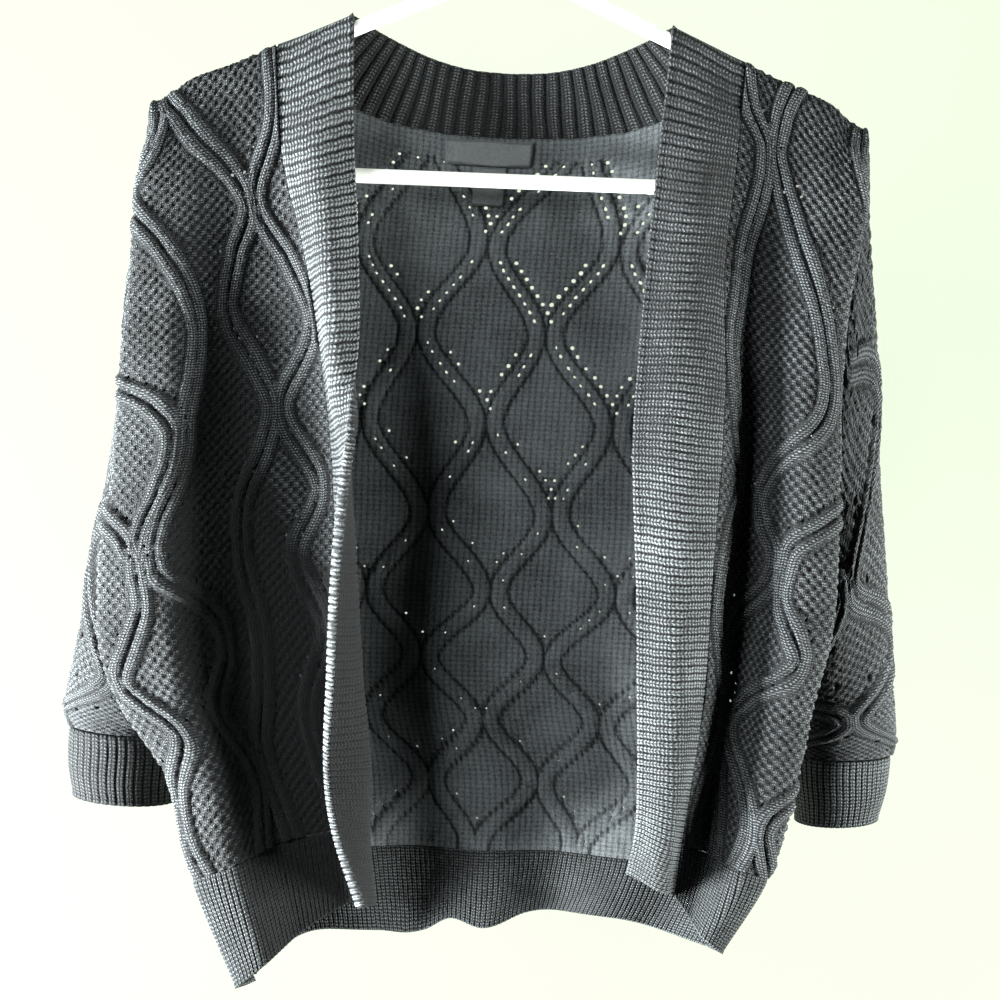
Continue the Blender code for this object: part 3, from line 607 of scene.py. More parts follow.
def eyelet_rows(shares, downs, widths, cables, seed, openness):
    """Where the eyelets open: on the stretches where a cable runs aslant, between its ropes and beside
    them. openness gives their chance, and how wide they are pulled, from the distance down and share."""
    rng = np.random.default_rng(seed)
    found, taken = [], set()
    rows, columns = shares.shape
    ways, slopes = ways_of(cables, downs)
    for v in np.arange(downs[0] + 12, downs[-1] - 8, EYELETS_APART):
        row = int(np.argmin(np.abs(downs - v)))
        for way, slope in zip(ways[row], slopes[row]):
            lean = slope * widths[row]
            luck, size = rng.random(2), rng.uniform(0.85, 1.15, 2)
            if abs(lean) < ASLANT or way == NOWHERE:
                continue
            for k, at in enumerate(EYELETS_AT):
                share = way + math.copysign(at, lean) * math.sqrt(1 + lean**2) / widths[row]
                column = int(np.argmin(np.abs(shares[row] - share)))
                near = {(row + a, column + b) for a in (-2, -1, 0, 1, 2) for b in (-2, -1, 0, 1, 2)}
                pull = openness(v, share)
                if luck[k] < 0.15 + 0.85 * pull and 3 < column < columns - 4 and not near & taken:
                    taken |= {(row, column)}
                    found.append((row, column, size[k] * (0.7 + 0.8 * pull)))
    return found


# Two-ply yarn of acrylic and cotton, dyed charcoal and knitted: matt between the stitches, with a
# soft shine along each strand and a haze of loose fibre. The stitches are drawn somewhat larger than
# the real ones, as the eye sees them in the photograph.
def yarn(name, dark, light, contrast, level):
    """dark and light are the yarn's colours in the hollows, with painted shade, and on the crowns of the
    stitches, with a painted highlight; contrast is how much the crowns stand out, and level how pale the
    whole is."""
    made, tree, shader = finish_named(name)
    uv = add(tree, "ShaderNodeUVMap", uv_map="stitches").outputs["UV"]
    split = add(tree, "ShaderNodeSeparateXYZ", {"Vector": uv})
    place = add(tree, "ShaderNodeTexCoord").outputs["Object"]
    cable, off, comb, pit, reverse = (
        add(tree, "ShaderNodeAttribute", attribute_name=mark).outputs["Fac"]
        for mark in ("cable", "off", "comb", "pit", "reverse")
    )

    def sum_up(operation, *values, **more):
        return add(tree, "ShaderNodeMath", dict(enumerate(values)), operation=operation, **more).outputs[0]

    def swing(value, per):
        """A cosine along value, from -1 to 1, that repeats after per."""
        return sum_up("COSINE", sum_up("MULTIPLY", value, 2 * math.pi / per))

    def wave(value, per):
        """A cosine along value, from 0 to 1, that repeats after per."""
        return sum_up("MULTIPLY_ADD", swing(value, per), 0.5, 0.5)

    wobble = add(
        tree, "ShaderNodeTexNoise", {"Vector": place, "Scale": 210.0, "Detail": 2.0}
    ).outputs["Fac"]
    shaken = sum_up("MULTIPLY_ADD", wobble, 0.9, split.outputs["Y"])
    # On a cable the stitches follow its ropes, elsewhere they stand in upright columns. The two legs of
    # a stitch lean together like a V.
    across = add(tree, "ShaderNodeMix", {0: cable, 2: split.outputs["X"], 3: off}).outputs[0]
    lean = sum_up("MULTIPLY_ADD", sum_up("PINGPONG", across, 0.5), 0.9, shaken)
    bow = sum_up("SQRT", sum_up("ABSOLUTE", sum_up("SINE", sum_up("MULTIPLY", across, 2 * math.pi))))
    strand = sum_up("MULTIPLY_ADD", wave(lean, 1.0), 0.6, 0.4)
    face = sum_up("MULTIPLY", strand, sum_up("MULTIPLY_ADD", bow, 0.8, 0.2))
    # The reverse shows fine upright ridges, and on them the loops of every other stitch as small beads.
    ridge = sum_up("POWER", wave(sum_up("MULTIPLY_ADD", wobble, 0.5, split.outputs["X"]), 1.8), 0.4)
    bead = sum_up("MULTIPLY_ADD", wave(shaken, 1.9), sum_up("MULTIPLY", wobble, 0.6), 0.2)
    back = sum_up("MULTIPLY_ADD", ridge, 0.14, sum_up("MULTIPLY_ADD", bead, 0.24, 0.37))
    # The honeycomb's pits, in staggered rows, and the knots between them.
    jog = sum_up("MULTIPLY_ADD", wobble, 0.9, split.outputs["X"])
    ground = sum_up("MULTIPLY", comb, sum_up("SUBTRACT", 1.0, reverse))
    pits = sum_up("MULTIPLY", sum_up("MULTIPLY", swing(jog, 3), swing(shaken, 4)), ground)
    netted = sum_up("MULTIPLY_ADD", pits, -0.18, sum_up("MULTIPLY_ADD", face, 0.55, 0.24))
    front = add(tree, "ShaderNodeMix", {0: ground, 2: face, 3: netted}).outputs[0]
    height = add(tree, "ShaderNodeMix", {0: reverse, 2: front, 3: back}).outputs[0]
    hole = add(
        tree, "ShaderNodeMapRange", {0: pits, 1: 0.06, 2: 0.5}, interpolation_type="SMOOTHSTEP"
    ).outputs[0]
    fibre = add(
        tree, "ShaderNodeTexNoise", {"Vector": place, "Scale": 1500.0, "Detail": 3.0, "Roughness": 0.7}
    ).outputs["Fac"]
    raised = sum_up("MULTIPLY_ADD", fibre, 0.9, sum_up("MULTIPLY_ADD", hole, -1.6, height))
    bump = add(tree, "ShaderNodeBump", {"Height": raised, "Strength": 1.0, "Distance": 0.9 * MM})
    tree.links.new(bump.outputs["Normal"], shader.inputs["Normal"])
    # Painted shade and painted highlight: yarn that lies deep is drawn darker, and the crowns of the
    # strands paler, as light falls on them.
    dye = add(tree, "ShaderNodeTexNoise", {"Vector": place, "Scale": 30.0, "Detail": 5.0}).outputs["Fac"]
    # Painted light: the reverse, which lines the back's inside, is drawn paler than the face of the same
    # yarn.
    ground_tone = sum_up("MULTIPLY_ADD", reverse, 0.27, level - 0.5 * contrast)
    crown = sum_up("MULTIPLY_ADD", height, contrast, ground_tone)
    haze = sum_up("MULTIPLY_ADD", fibre, 1.1, sum_up("MULTIPLY_ADD", dye, 0.4, -0.75))
    tone = sum_up("ADD", crown, haze)
    # Painted shade: the hollows marked pit and the honeycomb's pits are drawn darker still.
    sunk = sum_up("SUBTRACT", tone, sum_up("MULTIPLY_ADD", pit, 0.5, sum_up("MULTIPLY", hole, 0.7)))
    ramp = add(tree, "ShaderNodeValToRGB", {"Fac": sunk})
    ramp.color_ramp.elements[0].position, ramp.color_ramp.elements[0].color = 0.1, linear("#020303")
    ramp.color_ramp.elements[1].position, ramp.color_ramp.elements[1].color = 1.0, linear(light)
    ramp.color_ramp.elements.new(0.45).color = linear(dark)
    tree.links.new(ramp.outputs["Color"], shader.inputs["Base Color"])
    shader.inputs["Roughness"].default_value = 0.78
    shader.inputs["IOR"].default_value = 1.4
    shader.inputs["Sheen Weight"].default_value = 0.08
    shader.inputs["Sheen Roughness"].default_value = 0.5
    shader.inputs["Sheen Tint"].default_value = linear("#c9d0d2")
    return made


cable_yarn = yarn("charcoal_cabled_yarn", "#0e1011", "#858b8d", 1.1, 0.35)


def dress(piece, material, node, flat, area=None):
    """The finish of a knitted piece, and what it stands for."""
    piece.data.materials.append(material)
    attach(piece, "root")
    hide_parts(node)


def wander(across, down, size, seed):
    """Soft dents and swells of hanging cloth, about size millimetres high."""
    a, b = across / 23.0 + seed, down / 31.0 + 1.7 * seed
    return size * (
        0.5 * np.sin(a + 1.3 * np.sin(b * 0.7)) * np.cos(b + 0.8 * np.sin(a * 0.6))
        + 0.3 * np.sin(2.1 * a - 1.1 * b)
        + 0.2 * np.sin(3.3 * b + 0.9 * a)
    )


# The cables meet in rows, on even and on odd upright lines in turn. The rows draw closer together
# towards the hem, and the trellis leans to and fro a little.
MEETINGS = (14, 75, 137, 195, 255, 303, 343, 382, 425, 462, 520)
DRIFT = ((0, 0.0), (75, -0.015), (137, -0.012), (195, 0.008), (303, 0.03), (382, 0.02), (462, -0.01))
back_cables = trellis(0.015, 0.097, 10, MEETINGS, 0.014, DRIFT)


def back_openness(v, share):
    """The back's eyelets are pulled open in its upper middle, and almost close lower down."""
    height = math.exp(-(((v - 70) / 140) ** 2))
    return 0.1 + height * (0.5 + 0.4 * float(step_up((share - 0.42) / 0.12)))


def middle_denser(share):
    """How much closer together the columns lie at each share, most in the middle, which shows."""
    return 1 + 0.5 * np.exp(-(((share - 0.5) / 0.24) ** 2))


FINER_DOWN_TO = 330.0        # below this the back's rows are wider apart
downs = np.concatenate([
    np.linspace(0, WRAP, 6)[:-1],
    np.linspace(WRAP, FINER_DOWN_TO, 171)[:-1],
    np.linspace(FINER_DOWN_TO, HEM_TOP - SEAM, 47),
])
widths = widths_of(back_section, downs, TURNED_SEAM, TURNED_SEAM)
shares = columns_for(ways_of(back_cables, downs)[0], widths, 216, denser=middle_denser)
points = laid_out(back_section, downs, shares, TURNED_SEAM, TURNED_SEAM)
outer, inner, stitches, marks = cabled(shares, downs, widths, back_cables)
swell = wander(stitches[0] * WALE, downs[:, None], 1.3, 0.4) * step_up((downs[:, None] - 20) / 60)
swell = swell * step_up((HEM_TOP - downs[:, None]) / 25)
open_at = eyelet_rows(shares, downs, widths, back_cables, 11, back_openness)
out = facing(points, 1.0)
points = points + out * swell[..., None]
back = knitted("back_panel", points, out, outer, inner, stitches, marks, eyelets=open_at)
dress(back, cable_yarn, "back", (0.50, 0.50), 0.20)


# ================================================================ the ribbed hem of the back
# A deep band of one-by-one rib, knitted on to the bottom of the back in the same yarn. Its ribs run
# down, and it hangs in the back's flutes.
RIB_HEIGHT = 1.0
HEM_RIB = 3.3                # one rib and its groove
GROOVE_SHARE = 0.1           # half the width of a groove, as a share of a rib
PLAIN = CLOTH / 2 - 0.4      # half the cloth's thickness in a groove


def ribbed(phase, edge=1.0, height=RIB_HEIGHT, split=0.0):
    """Relief of the two faces of a ribbed band, and its marks: where one face has a rib, the other has
    a groove. phase counts the ribs, edge flattens them, and split is the depth of the line between the
    two columns of stitches of a wide rib."""
    front, behind = (
        1 - np.exp(-((((phase + way) % 1.0 - 0.5) / GROOVE_SHARE) ** 2)) for way in (0.5, 0.0)
    )
    line = np.exp(-(((phase % 1.0 - 0.5) / 0.07) ** 2))
    outer = PLAIN + edge * height * (front - split * line)
    inner = -(PLAIN + edge * height * behind)
    marks = {
        "cable": 0.0,
        "off": 0.0,
        "comb": 0.0,
        # pit is painted shade: the yarn's material darkens the grooves between the ribs.
        "pit": ((1 - front) * 0.9 + split * line, (1 - behind) * 0.9),
        "reverse": 0.0,
    }
    return outer, inner, marks


def hem(name, section, side, node, flat, seam=TURNED_SEAM, waves=None, fold=None):
    """A ribbed hem that hangs from the bottom of a panel. waves are how far its bottom edge rises at
    each x, and fold the painted shade on its yarn."""
    downs = np.linspace(HEM_TOP - SEAM / 2, CLOTH_END, 20)
    ribs = round(widths_of(section, [HEM_TOP], seam, seam)[0] / HEM_RIB)
    shares = np.tile(np.linspace(0, 1, ribs * 7 + 1), (len(downs), 1))
    points = laid_out(section, downs, shares, seam, seam)
    phase = shares * ribs + 0.08 * np.sin(downs[:, None] / 11.0 + shares * 40)
    down = downs[:, None] - HEM_TOP
    if waves is not None:
        rise = smooth_through(waves[:, 0], waves[:, 1:], points[..., 0].ravel()).reshape(shares.shape)
        points[..., 2] += rise * (down / (CLOTH_END - HEM_TOP)) ** 2
    pulled = step_up(down / 3.0)                    # the ribs grow out of the panel's last row
    outer, inner, marks = ribbed(phase, 0.35 + 0.65 * pulled)
    if fold is not None:
        marks["pit"] = (marks["pit"][0] + fold(downs[:, None], shares), marks["pit"][1])
    bead = 0.5 * np.exp(-(((down - (CLOTH_END - HEM_TOP)) / 1.6) ** 2))     # cast-on edge
    stitches = (phase, np.broadcast_to(down / 2.1, shares.shape))
    out = facing(points, side)
    piece = knitted(name, points, out, outer + bead, inner - bead, stitches, marks)
    dress(piece, rib_yarn, node, flat)


rib_yarn = yarn("charcoal_ribbed_yarn", "#111314", "#7c8283", 0.8, 0.41)
# How far the bottom edge rises at each x.
HEM_WAVES = np.array((
    (-300, 0), (-95, 0), (-64, -5), (-45, -9), (-34, -7), (-18, 2), (3, -2), (28, 6.5), (65, 9.5),
    (86, 10), (125, 2), (300, 0),
))
hem("back_hem", back_section, 1.0, "hem_back", (0.335, 0.055), waves=HEM_WAVES)


# ================================================================ the ribbed band behind the neck
# The middle of the long ribbed band that edges the opening: it is sewn to the back's neckline, stands
# up behind the neck, and meets the two front bands at the shoulders. Its ribs run up and down.
NECK_RIBS = 29
NECK_TOP = np.array((
    # way, x, y, z of the upper edge, from the centre (0) to the shoulder seam (1)
    (0.00, 0.0, 22.0, -156.0), (0.20, 25.0, 21.5, -154.5), (0.40, 48.0, 19.5, -149.5),
    (0.60, 67.0, 16.5, -142.5), (0.80, 84.0, 12.5, -135.0), (0.92, 93.0, 8.0, -130.8),
    (0.96, 96.0, 4.8, -130.0), (1.00, 98.5, 0.5, -130.4),
))


def neck_section(v, t):
    """The band from its seam (t = 0) to its upper edge (t = 1), at v from its left end to its right."""
    way = 2 * v - 1
    x, y, z = smooth_through(NECK_TOP[:, 0], NECK_TOP[:, 1:], [abs(way)])[0]
    lower = back_section(0.0, np.array([(1 + way * NECK_SHARE) / 2]))[0]
    return lower + (np.array([math.copysign(x, way), y, z]) - lower) * t[:, None]


alongs = np.linspace(0.0, 1.0, NECK_RIBS * 8 + 1)
shares = np.tile(np.linspace(0, 1, 22), (len(alongs), 1))
points = laid_out(neck_section, alongs, shares, start=-0.6)
phase = alongs[:, None] * NECK_RIBS + 0.05 * np.sin(shares * 5 + alongs[:, None] * 31)
end_fade = step_up(np.minimum(alongs, 1 - alongs)[:, None] / 0.12)
outer, inner, marks = ribbed(phase, 0.3 + 0.7 * end_fade, 1.5)
# Painted shade in the grooves between the ribs.
marks["pit"] = 0.85 * np.cos(math.pi * phase) ** 2
bead = 0.6 * np.exp(-(((shares - 1) * 45 / 1.8) ** 2))
stitches = (2 * phase, shares * 45 / 2.0)
out = facing(points, -1.0)
neck = knitted("neck_band", points, out, outer + bead, inner - bead, stitches, marks)
dress(neck, rib_yarn, "band_neck", (0.27, 0.046))


# ================================================================ the labels
# Two woven satin labels without any lettering, sewn inside the back under the neck seam: the wide
# neck label, drawn without its folded-under ends, and the narrow size label that hangs below it.
label_satin, tree, shader = finish_named("woven_polyester_satin")
place = add(tree, "ShaderNodeTexCoord").outputs["Object"]
# Warp threads 0.25 mm apart, drawn wider so that they show.
warp = add(
    tree,
    "ShaderNodeTexWave",
    {"Vector": place, "Scale": 640.0, "Distortion": 1.2, "Detail": 1.0},
    bands_direction="X",
).outputs["Fac"]
weft = add(tree, "ShaderNodeTexNoise", {"Vector": place, "Scale": 700.0, "Detail": 2.0}).outputs["Fac"]
ramp = add(tree, "ShaderNodeValToRGB", {"Fac": weft})
ramp.color_ramp.elements[0].position, ramp.color_ramp.elements[0].color = 0.3, linear("#3a3e3f")
ramp.color_ramp.elements[1].position, ramp.color_ramp.elements[1].color = 0.75, linear("#525757")
tree.links.new(ramp.outputs["Color"], shader.inputs["Base Color"])
bump = add(tree, "ShaderNodeBump", {"Height": warp, "Strength": 0.6, "Distance": 0.00015})
tree.links.new(bump.outputs["Normal"], shader.inputs["Normal"])
shader.inputs["Roughness"].default_value = 0.42
shader.inputs["Sheen Weight"].default_value = 0.3
for name, node, left, right, top, height, thick in (
    # name        node          left   right  top  height thick
    ("neck_label", "label", -40.0, 16.0, 3.0, 16.0, 0.8),
    ("lower_label", "size_label", -21.0, 0.0, 19.6, 27.0, 0.7),
):
    downs = np.linspace(top, top + height, 14)
    width = widths_of(back_section, [top], TURNED_SEAM, TURNED_SEAM)[0]
    across = np.linspace(left, right, 40)
    shares = np.tile(0.5 + across / width, (len(downs), 1))
    points = laid_out(back_section, downs, shares, TURNED_SEAM, TURNED_SEAM)
    out = facing(points, -1.0)
    # The label bows away from the cloth a little and its rims are pressed thin.
    rim = np.minimum(step_up((across - left) / 1.5) * step_up((right - across) / 1.5), 1.0)[None, :]
    rim = rim * (step_up((downs - top) / 1.2) * step_up((top + height - downs) / 1.2))[:, None]
    lift = CLOTH / 2 + TURNED_SEAM + thick / 2 + 0.5 * np.sin(across / 7.0)[None, :] * rim
    half = 0.12 + (thick / 2 - 0.12) * rim
    marks = {"cable": 0.0}
    piece = knitted(name, points, out, lift + half, lift - half, (across[None, :], downs[:, None]), marks)
    flat = ((right - left) * MM, height * MM)
    dress(piece, label_satin, node, flat)


# ================================================================ the two front panels
# The fronts are knitted like the back, with a trellis of cables and honeycomb in the diamonds between
# them, which the drape pulls out of true. Each hangs from its shoulder seam, dips to a deep fold beside
# the ribbed band, and rounds out over the side to the seam with the back.
SHOULDER_CROWN = 4.6
# Each cable's way: how far down the cloth, and its share of the width from the band to the side.
LEFT_CABLES = (
    ((0, 0.03), (40, 0.03), (80, 0.205), (122, 0.09), (155, 0.015), (203, 0.19), (257, 0.06),
     (292, 0.14), (338, 0.065), (396, 0.165), (471, 0.05)),
    ((0, 0.90), (17, 0.775), (41, 0.555), (58, 0.375), (80, 0.255), (112, 0.36), (145, 0.41),
     (178, 0.30), (203, 0.235), (228, 0.265), (262, 0.335), (290, 0.33), (333, 0.285), (375, 0.31),
     (412, 0.38), (471, 0.30)),
    ((0, 0.95), (38, 0.90), (66, 0.97), (100, 0.755), (128, 0.62), (152, 0.56), (179, 0.565),
     (206, 0.585), (227, 0.58), (245, 0.595), (270, 0.635), (290, 0.64), (303, 0.61), (311, 0.545),
     (324, 0.455), (350, 0.42), (385, 0.52), (430, 0.44), (471, 0.47)),
    ((150, 1.0), (181, 0.905), (196, 0.74), (212, 0.645), (228, 0.63), (250, 0.65), (272, 0.69),
     (290, 0.70), (320, 0.69), (340, 0.74), (360, 0.80), (395, 0.70), (424, 0.82), (450, 0.83),
     (471, 0.78)),
    ((240, 1.0), (264, 0.84), (276, 0.76), (292, 0.705)),
)
# The fold beside the left band: how far down, the two shares of the width between which it lies, and
# the strength of its painted shade.
FOLD = np.array((
    (110, 0.25, 0.50, 0.0), (170, 0.28, 0.58, 0.35), (230, 0.25, 0.62, 0.7), (290, 0.1, 0.64, 0.9),
    (330, -0.2, 0.64, 0.95), (470, -0.2, 0.66, 1.0), (530, -0.2, 0.66, 1.0),
))
RIGHT_CABLES = (
    ((0, -0.02), (9, 0.0), (27, 0.065), (42, 0.19), (55, 0.205), (75, 0.185), (97, 0.145),
     (130, 0.12), (165, 0.06), (205, 0.12), (240, 0.21), (270, 0.11), (310, 0.05), (350, 0.13),
     (376, 0.235), (405, 0.18), (440, 0.10), (471, 0.12)),
    ((0, 0.40), (10, 0.35), (27, 0.30), (44, 0.275), (60, 0.335), (81, 0.45), (110, 0.625),
     (128, 0.70), (150, 0.74), (170, 0.755), (190, 0.71), (209, 0.59), (226, 0.455), (246, 0.385),
     (262, 0.42), (276, 0.49), (292, 0.47), (320, 0.25), (345, 0.19), (375, 0.285), (393, 0.27),
     (430, 0.30), (471, 0.34)),
    ((215, 1.0), (238, 0.85), (255, 0.72), (270, 0.60), (284, 0.565), (302, 0.555), (323, 0.64),
     (335, 0.675), (346, 0.64), (365, 0.43), (376, 0.335), (393, 0.335), (407, 0.425), (419, 0.50),
     (445, 0.57), (471, 0.52)),
    ((395, 1.0), (418, 0.81), (433, 0.68), (443, 0.655), (456, 0.70), (471, 0.80)),
    ((0, 0.97), (30, 0.93), (60, 0.97), (90, 1.0)),
)


def shaded_fold(v, share):
    """How strong the painted shade is on the yarn in the fold beside the left band, out of reach of the
    light.
    """
    near, far, depth = (np.interp(v, FOLD[:, 0], FOLD[:, place]) for place in (1, 2, 3))
    return 1.2 * depth * step_up((share - near) / 0.12) * step_up((far - share) / 0.12)


def front_openness(v, share):
    """The fronts' eyelets are pulled open most at the shoulder, and less everywhere else."""
    return 0.42 + 0.35 * math.exp(-((v / 60) ** 2))


def front_section(table, first, last):
    """The section of a front between two of its seven named places."""

    def section(v, t):
        row = smooth_through(DOWN, table, [v])[0]
        free_z, seam_z, side_z = row[:3]
        crown = SHOULDER_CROWN * max(0.0, 1 - v / DOWN[1])
        height = (
            free_z,
            (free_z + seam_z) / 2,
            seam_z,
            seam_z + (side_z - seam_z) * 0.36 + crown / 2,
            seam_z + (side_z - seam_z) * 0.72 + crown,
            side_z,
            side_z,
        )
        places = np.column_stack([row[3::2], row[4::2], height])
        if v < WRAP:
            places[:, 1] += (OVER_ARM - SEAM) * (1 - math.sin(v / OVER_ARM))
            places[:, 2] += ARM_RISE * math.cos(v / OVER_ARM)
        knots = np.concatenate([[0], np.cumsum(np.linalg.norm(np.diff(places, axis=0), axis=1))])
        return smooth_through(knots, places, knots[first] + t * (knots[last] - knots[first]))

    return section


for way, table, cables, side, seed, flat, cut in (
    ("left", LEFT_FRONT, LEFT_CABLES, 1.0, 2.1, (0.19, 0.50), 0.073),
    ("right", RIGHT_FRONT, RIGHT_CABLES, -1.0, 5.3, (0.14, 0.49), 0.055),
):
    section = front_section(table, 2, 6)
    downs = np.concatenate([np.linspace(0, WRAP, 8)[:-1], np.linspace(WRAP, HEM_TOP - SEAM, 325)])
    widths = widths_of(section, downs, SEAM, SEAM)
    shares = columns_for(ways_of(cables, downs)[0], widths, 116)
    points = laid_out(section, downs, shares, SEAM, SEAM)
    outer, inner, stitches, marks = cabled(shares, downs, widths, cables)
    out = facing(points, side)
    swell = wander(stitches[0] * WALE, downs[:, None], 1.6, seed) * step_up((downs[:, None] - 15) / 50)
    if way == "left":
        # Painted shade in the fold beside the left band.
        marks["pit"] = (marks["pit"][0] + shaded_fold(downs[:, None], shares), marks["pit"][1])
    open_at = eyelet_rows(shares, downs, widths, cables, 23, front_openness)
    points = points + out * swell[..., None]
    front = knitted(f"front_panel_{way}", points, out, outer, inner, stitches, marks, eyelets=open_at)
    dress(front, cable_yarn, f"front_{way}", flat, cut)


# ================================================================ the ribbed hems of the fronts
# The same one-by-one rib as on the back, knitted on to the bottom of each front.
for way, table, side, flat in (
    ("left", LEFT_FRONT, 1.0, (0.125, 0.06)),
    ("right", RIGHT_FRONT, -1.0, (0.08, 0.05)),
):
    # The left hem carries the painted shade of the fold beside the band.
    fold = shaded_fold if way == "left" else None
    section = front_section(table, 2, 6)
    hem(f"front_hem_{way}", section, side, f"hem_front_{way}", flat, seam=0.3, fold=fold)


# ================================================================ the ribbed front bands
# The long band of one-by-one rib that edges each front from hem to shoulder. It was knitted sideways,
# so its ribs run from the seam to the free edge. The left band stands up along its length and turns
# over near the hem, so that its reverse, darkened with painted shade, shows behind the rolled edge,
# which carries a painted highlight.
ROLLED_EDGE = 1.7            # how far from the free edge the knitting rolls
LAPPED = -0.2                # the band reaches this much past its seam
# Painted light: the bands' yarn is the same charcoal yarn drawn paler, for the light the standing bands
# catch.
band_yarn_painted_lit = yarn("charcoal_yarn_painted_lit", "#151718", "#9ea4a5", 0.5, 0.53)
for way, table, side, per_mm, closer, pale, painted_shade, flat in (
    # ribs to the millimetre at the shoulder, how many more there are for each millimetre down, how strong
    # the painted highlight on the rolled lower edge is, how strong the painted shade near the shoulder is,
    # flat size
    ("left", LEFT_FRONT, 1.0, 0.145, 0.00008, 1.0, 0.0, (0.045, 0.545)),
    ("right", RIGHT_FRONT, -1.0, 0.169, 0.000064, 0.2, 0.35, (0.05, 0.525)),
):
    section = front_section(table, 0, 2)
    ribs = per_mm * CLOTH_END + closer * CLOTH_END**2
    phases = np.linspace(0, ribs, round(ribs) * 8 + 1)
    downs = (np.sqrt(per_mm**2 + 4 * closer * phases) - per_mm) / (2 * closer)
    widths = widths_of(section, downs, 0.0, LAPPED)
    shares = np.tile(np.linspace(0, 1, 17), (len(downs), 1))
    points = laid_out(section, downs, shares, 0.0, LAPPED)
    across = shares * widths[:, None]
    phase = phases[:, None] + 0.14 * np.sin(across / 9.0 + downs[:, None] / 37.0)
    phase = phase + 0.045 * np.sin(across / 1.5 + 3.0 * np.sin(downs[:, None] / 13.0))
    grip = step_up((widths[:, None] - across) / 3.0)        # the ribs sink into the seam
    outer, inner, marks = ribbed(phase, 0.35 + 0.65 * grip, 1.5, 0.1)
    rolled = np.exp(-((across / ROLLED_EDGE) ** 2))
    # Painted highlight along the rolled lower edge, where the band catches the light.
    edge_highlight = pale * rolled * step_up((downs[:, None] - 150) / 120)
    # Painted shade on the band near the shoulder.
    shade = painted_shade * (1 - step_up((downs[:, None] - 90) / 220))
    # The inner face is darkened all over as painted shade, less under the edge's painted highlight.
    marks["pit"] = (1.4 * marks["pit"][0] + shade - 0.2 * edge_highlight, 1.1 + 0.4 * marks["pit"][1] - 1.1 * edge_highlight)
    stitches = (phase, across / WALE)
    out = facing(points, side)
    band = knitted(f"front_band_{way}", points, out, outer + rolled, inner - rolled, stitches, marks)
    dress(band, band_yarn_painted_lit, f"band_{way}", flat)


# ================================================================ the sleeves
# Three-quarter sleeves, knitted like the panels and sewn into the armholes. Each hangs beside the body
# and widens from the flat armhole to a round opening, where the cuff gathers it.
SLEEVE_DOWN = 300.0
LEFT_SLEEVE = np.array((
    # over_x, over_z, under_x, under_z, mid_y, half_y
    (-222.0, -187, -216.0, -411, 0, 3.75), (-229, -262, -218, -440, 6, 7.5),
    (-237, -347, -214, -474, 14, 15), (-246, -428, -207, -510, 22, 22.5),
    (-257, -501, -201, -544, 30, 29.5), (-267, -553, -196, -567, 35, 34), (-265, -579, -199, -583, 36, 33),
))
RIGHT_SLEEVE = np.array((
    (222.0, -187, 192.5, -411, 0, 3.75), (229, -262, 197, -440, 6, 7.5), (237, -347, 196, -474, 14, 15),
    (245, -428, 195, -510, 22, 22.5), (252, -501, 194, -542, 30, 29.5), (260, -553, 193, -563, 35, 34),
    (258, -578, 196, -581, 36, 33),
))


def ring_section(table, length):
    """Rings of a sleeve or a cuff: from under the arm over the front and the outside to the back."""
    knots = np.linspace(0, length, len(table))

    def section(v, t):
        over_x, over_z, under_x, under_z, mid_y, half_y = smooth_through(knots, table, [v])[0]
        turn = 2 * math.pi * t
        out = (1 - np.cos(turn)) / 2
        return np.column_stack([
            under_x + (over_x - under_x) * out,
            mid_y - np.sin(turn) * half_y,
            under_z + (over_z - under_z) * out,
        ])

    return section


def sleeve_openness(v, share):
    """The sleeves' eyelets are a third open all over."""
    return 0.35


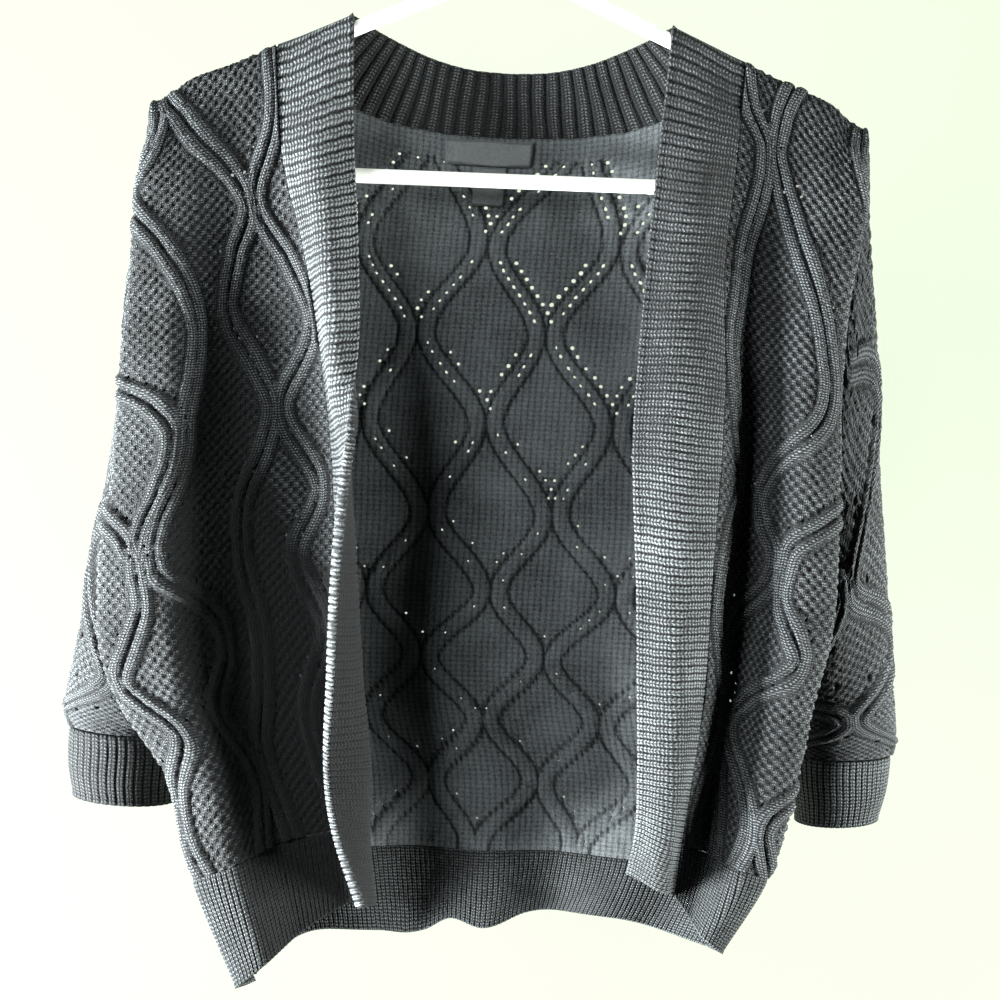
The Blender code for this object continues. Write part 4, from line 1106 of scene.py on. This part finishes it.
for way, table, side, seed, meetings in (
    ("left", LEFT_SLEEVE, 1.0, 0.8, (-40, 25, 75, 120, 171, 232, 285, 340)),
    ("right", RIGHT_SLEEVE, -1.0, 3.7, (-30, 40, 100, 157, 205, 243, 295, 340)),
):
    section = ring_section(table, SLEEVE_DOWN)
    downs = np.linspace(0, SLEEVE_DOWN - SEAM, 152)
    widths = widths_of(section, downs)
    cables = trellis(0.0, 0.25, 4, meetings, 0.025)
    shares = columns_for(ways_of(cables, downs)[0], widths, 158, closed=True)
    points = laid_out(section, downs, shares)
    outer, inner, stitches, marks = cabled(shares, downs, widths, cables, closed=True, bare=40.0)
    open_at = eyelet_rows(shares, downs, widths, cables, 31, sleeve_openness)
    out = facing(points, side, closed=True)
    round_ = 2 * math.pi * shares
    swell = 1.8 * np.sin(3 * round_ + downs[:, None] / 26.0 + seed) * np.sin(downs[:, None] / 41.0 + seed)
    swell = swell * step_up(downs[:, None] / 60) * step_up((SLEEVE_DOWN - downs[:, None]) / 30)
    sleeve = knitted(
        f"sleeve_{way}_cloth", points + out * swell[..., None], out, outer, inner, stitches, marks,
        closed=True, eyelets=open_at,
    )
    dress(sleeve, cable_yarn, f"sleeve_{way}", (0.34, 0.26), 0.045)


# ================================================================ the cuffs
# Short ribbed cuffs, knitted on to the sleeves in one-by-one rib.
CUFF_DOWN = 40.0
LEFT_CUFF = np.array((
    (-265, -580, -199, -584, 36, 33), (-265, -602, -198, -605, 36, 32.5), (-261, -623, -200, -627, 36, 31),
))
RIGHT_CUFF = np.array((
    (258, -579, 196, -582, 36, 33), (256, -600, 199, -603, 36, 32), (251, -619, 203, -624, 36, 30),
))
for way, table, side, ribs, painted_shade, flat in (
    # how many ribs, and the painted shade on the yarn, painted light where it is below zero
    ("left", LEFT_CUFF, 1.0, 38, 0.3, (0.205, 0.043)),
    ("right", RIGHT_CUFF, -1.0, 52, -0.2, (0.19, 0.042)),
):
    section = ring_section(table, CUFF_DOWN)
    downs = np.linspace(0, CUFF_DOWN, 18)
    shares = np.tile(np.linspace(0, 1, ribs * 8 + 1), (len(downs), 1))
    points = laid_out(section, downs, shares)
    phase = shares * ribs + 0.1 * np.sin(downs[:, None] / 6.0)
    outer, inner, marks = ribbed(phase, 0.4 + 0.6 * step_up(downs[:, None] / 3.0))
    # Painted shade on the left cuff, painted light on the right one.
    marks["pit"] = (marks["pit"][0] + painted_shade, marks["pit"][1])
    bead = 0.5 * np.exp(-(((downs[:, None] - CUFF_DOWN) / 1.6) ** 2))
    stitches = (phase, np.broadcast_to(downs[:, None] / 2.1, shares.shape))
    out = facing(points, side, closed=True)
    cuff = knitted(f"cuff_{way}_rib", points, out, outer + bead, inner - bead, stitches, marks, closed=True)
    dress(cuff, rib_yarn, f"cuff_{way}", flat)


both = {"cad": cad_bounds, "visual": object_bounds()}
{name: [[float(x) for x in corner] for corner in box] for name, box in both.items()}
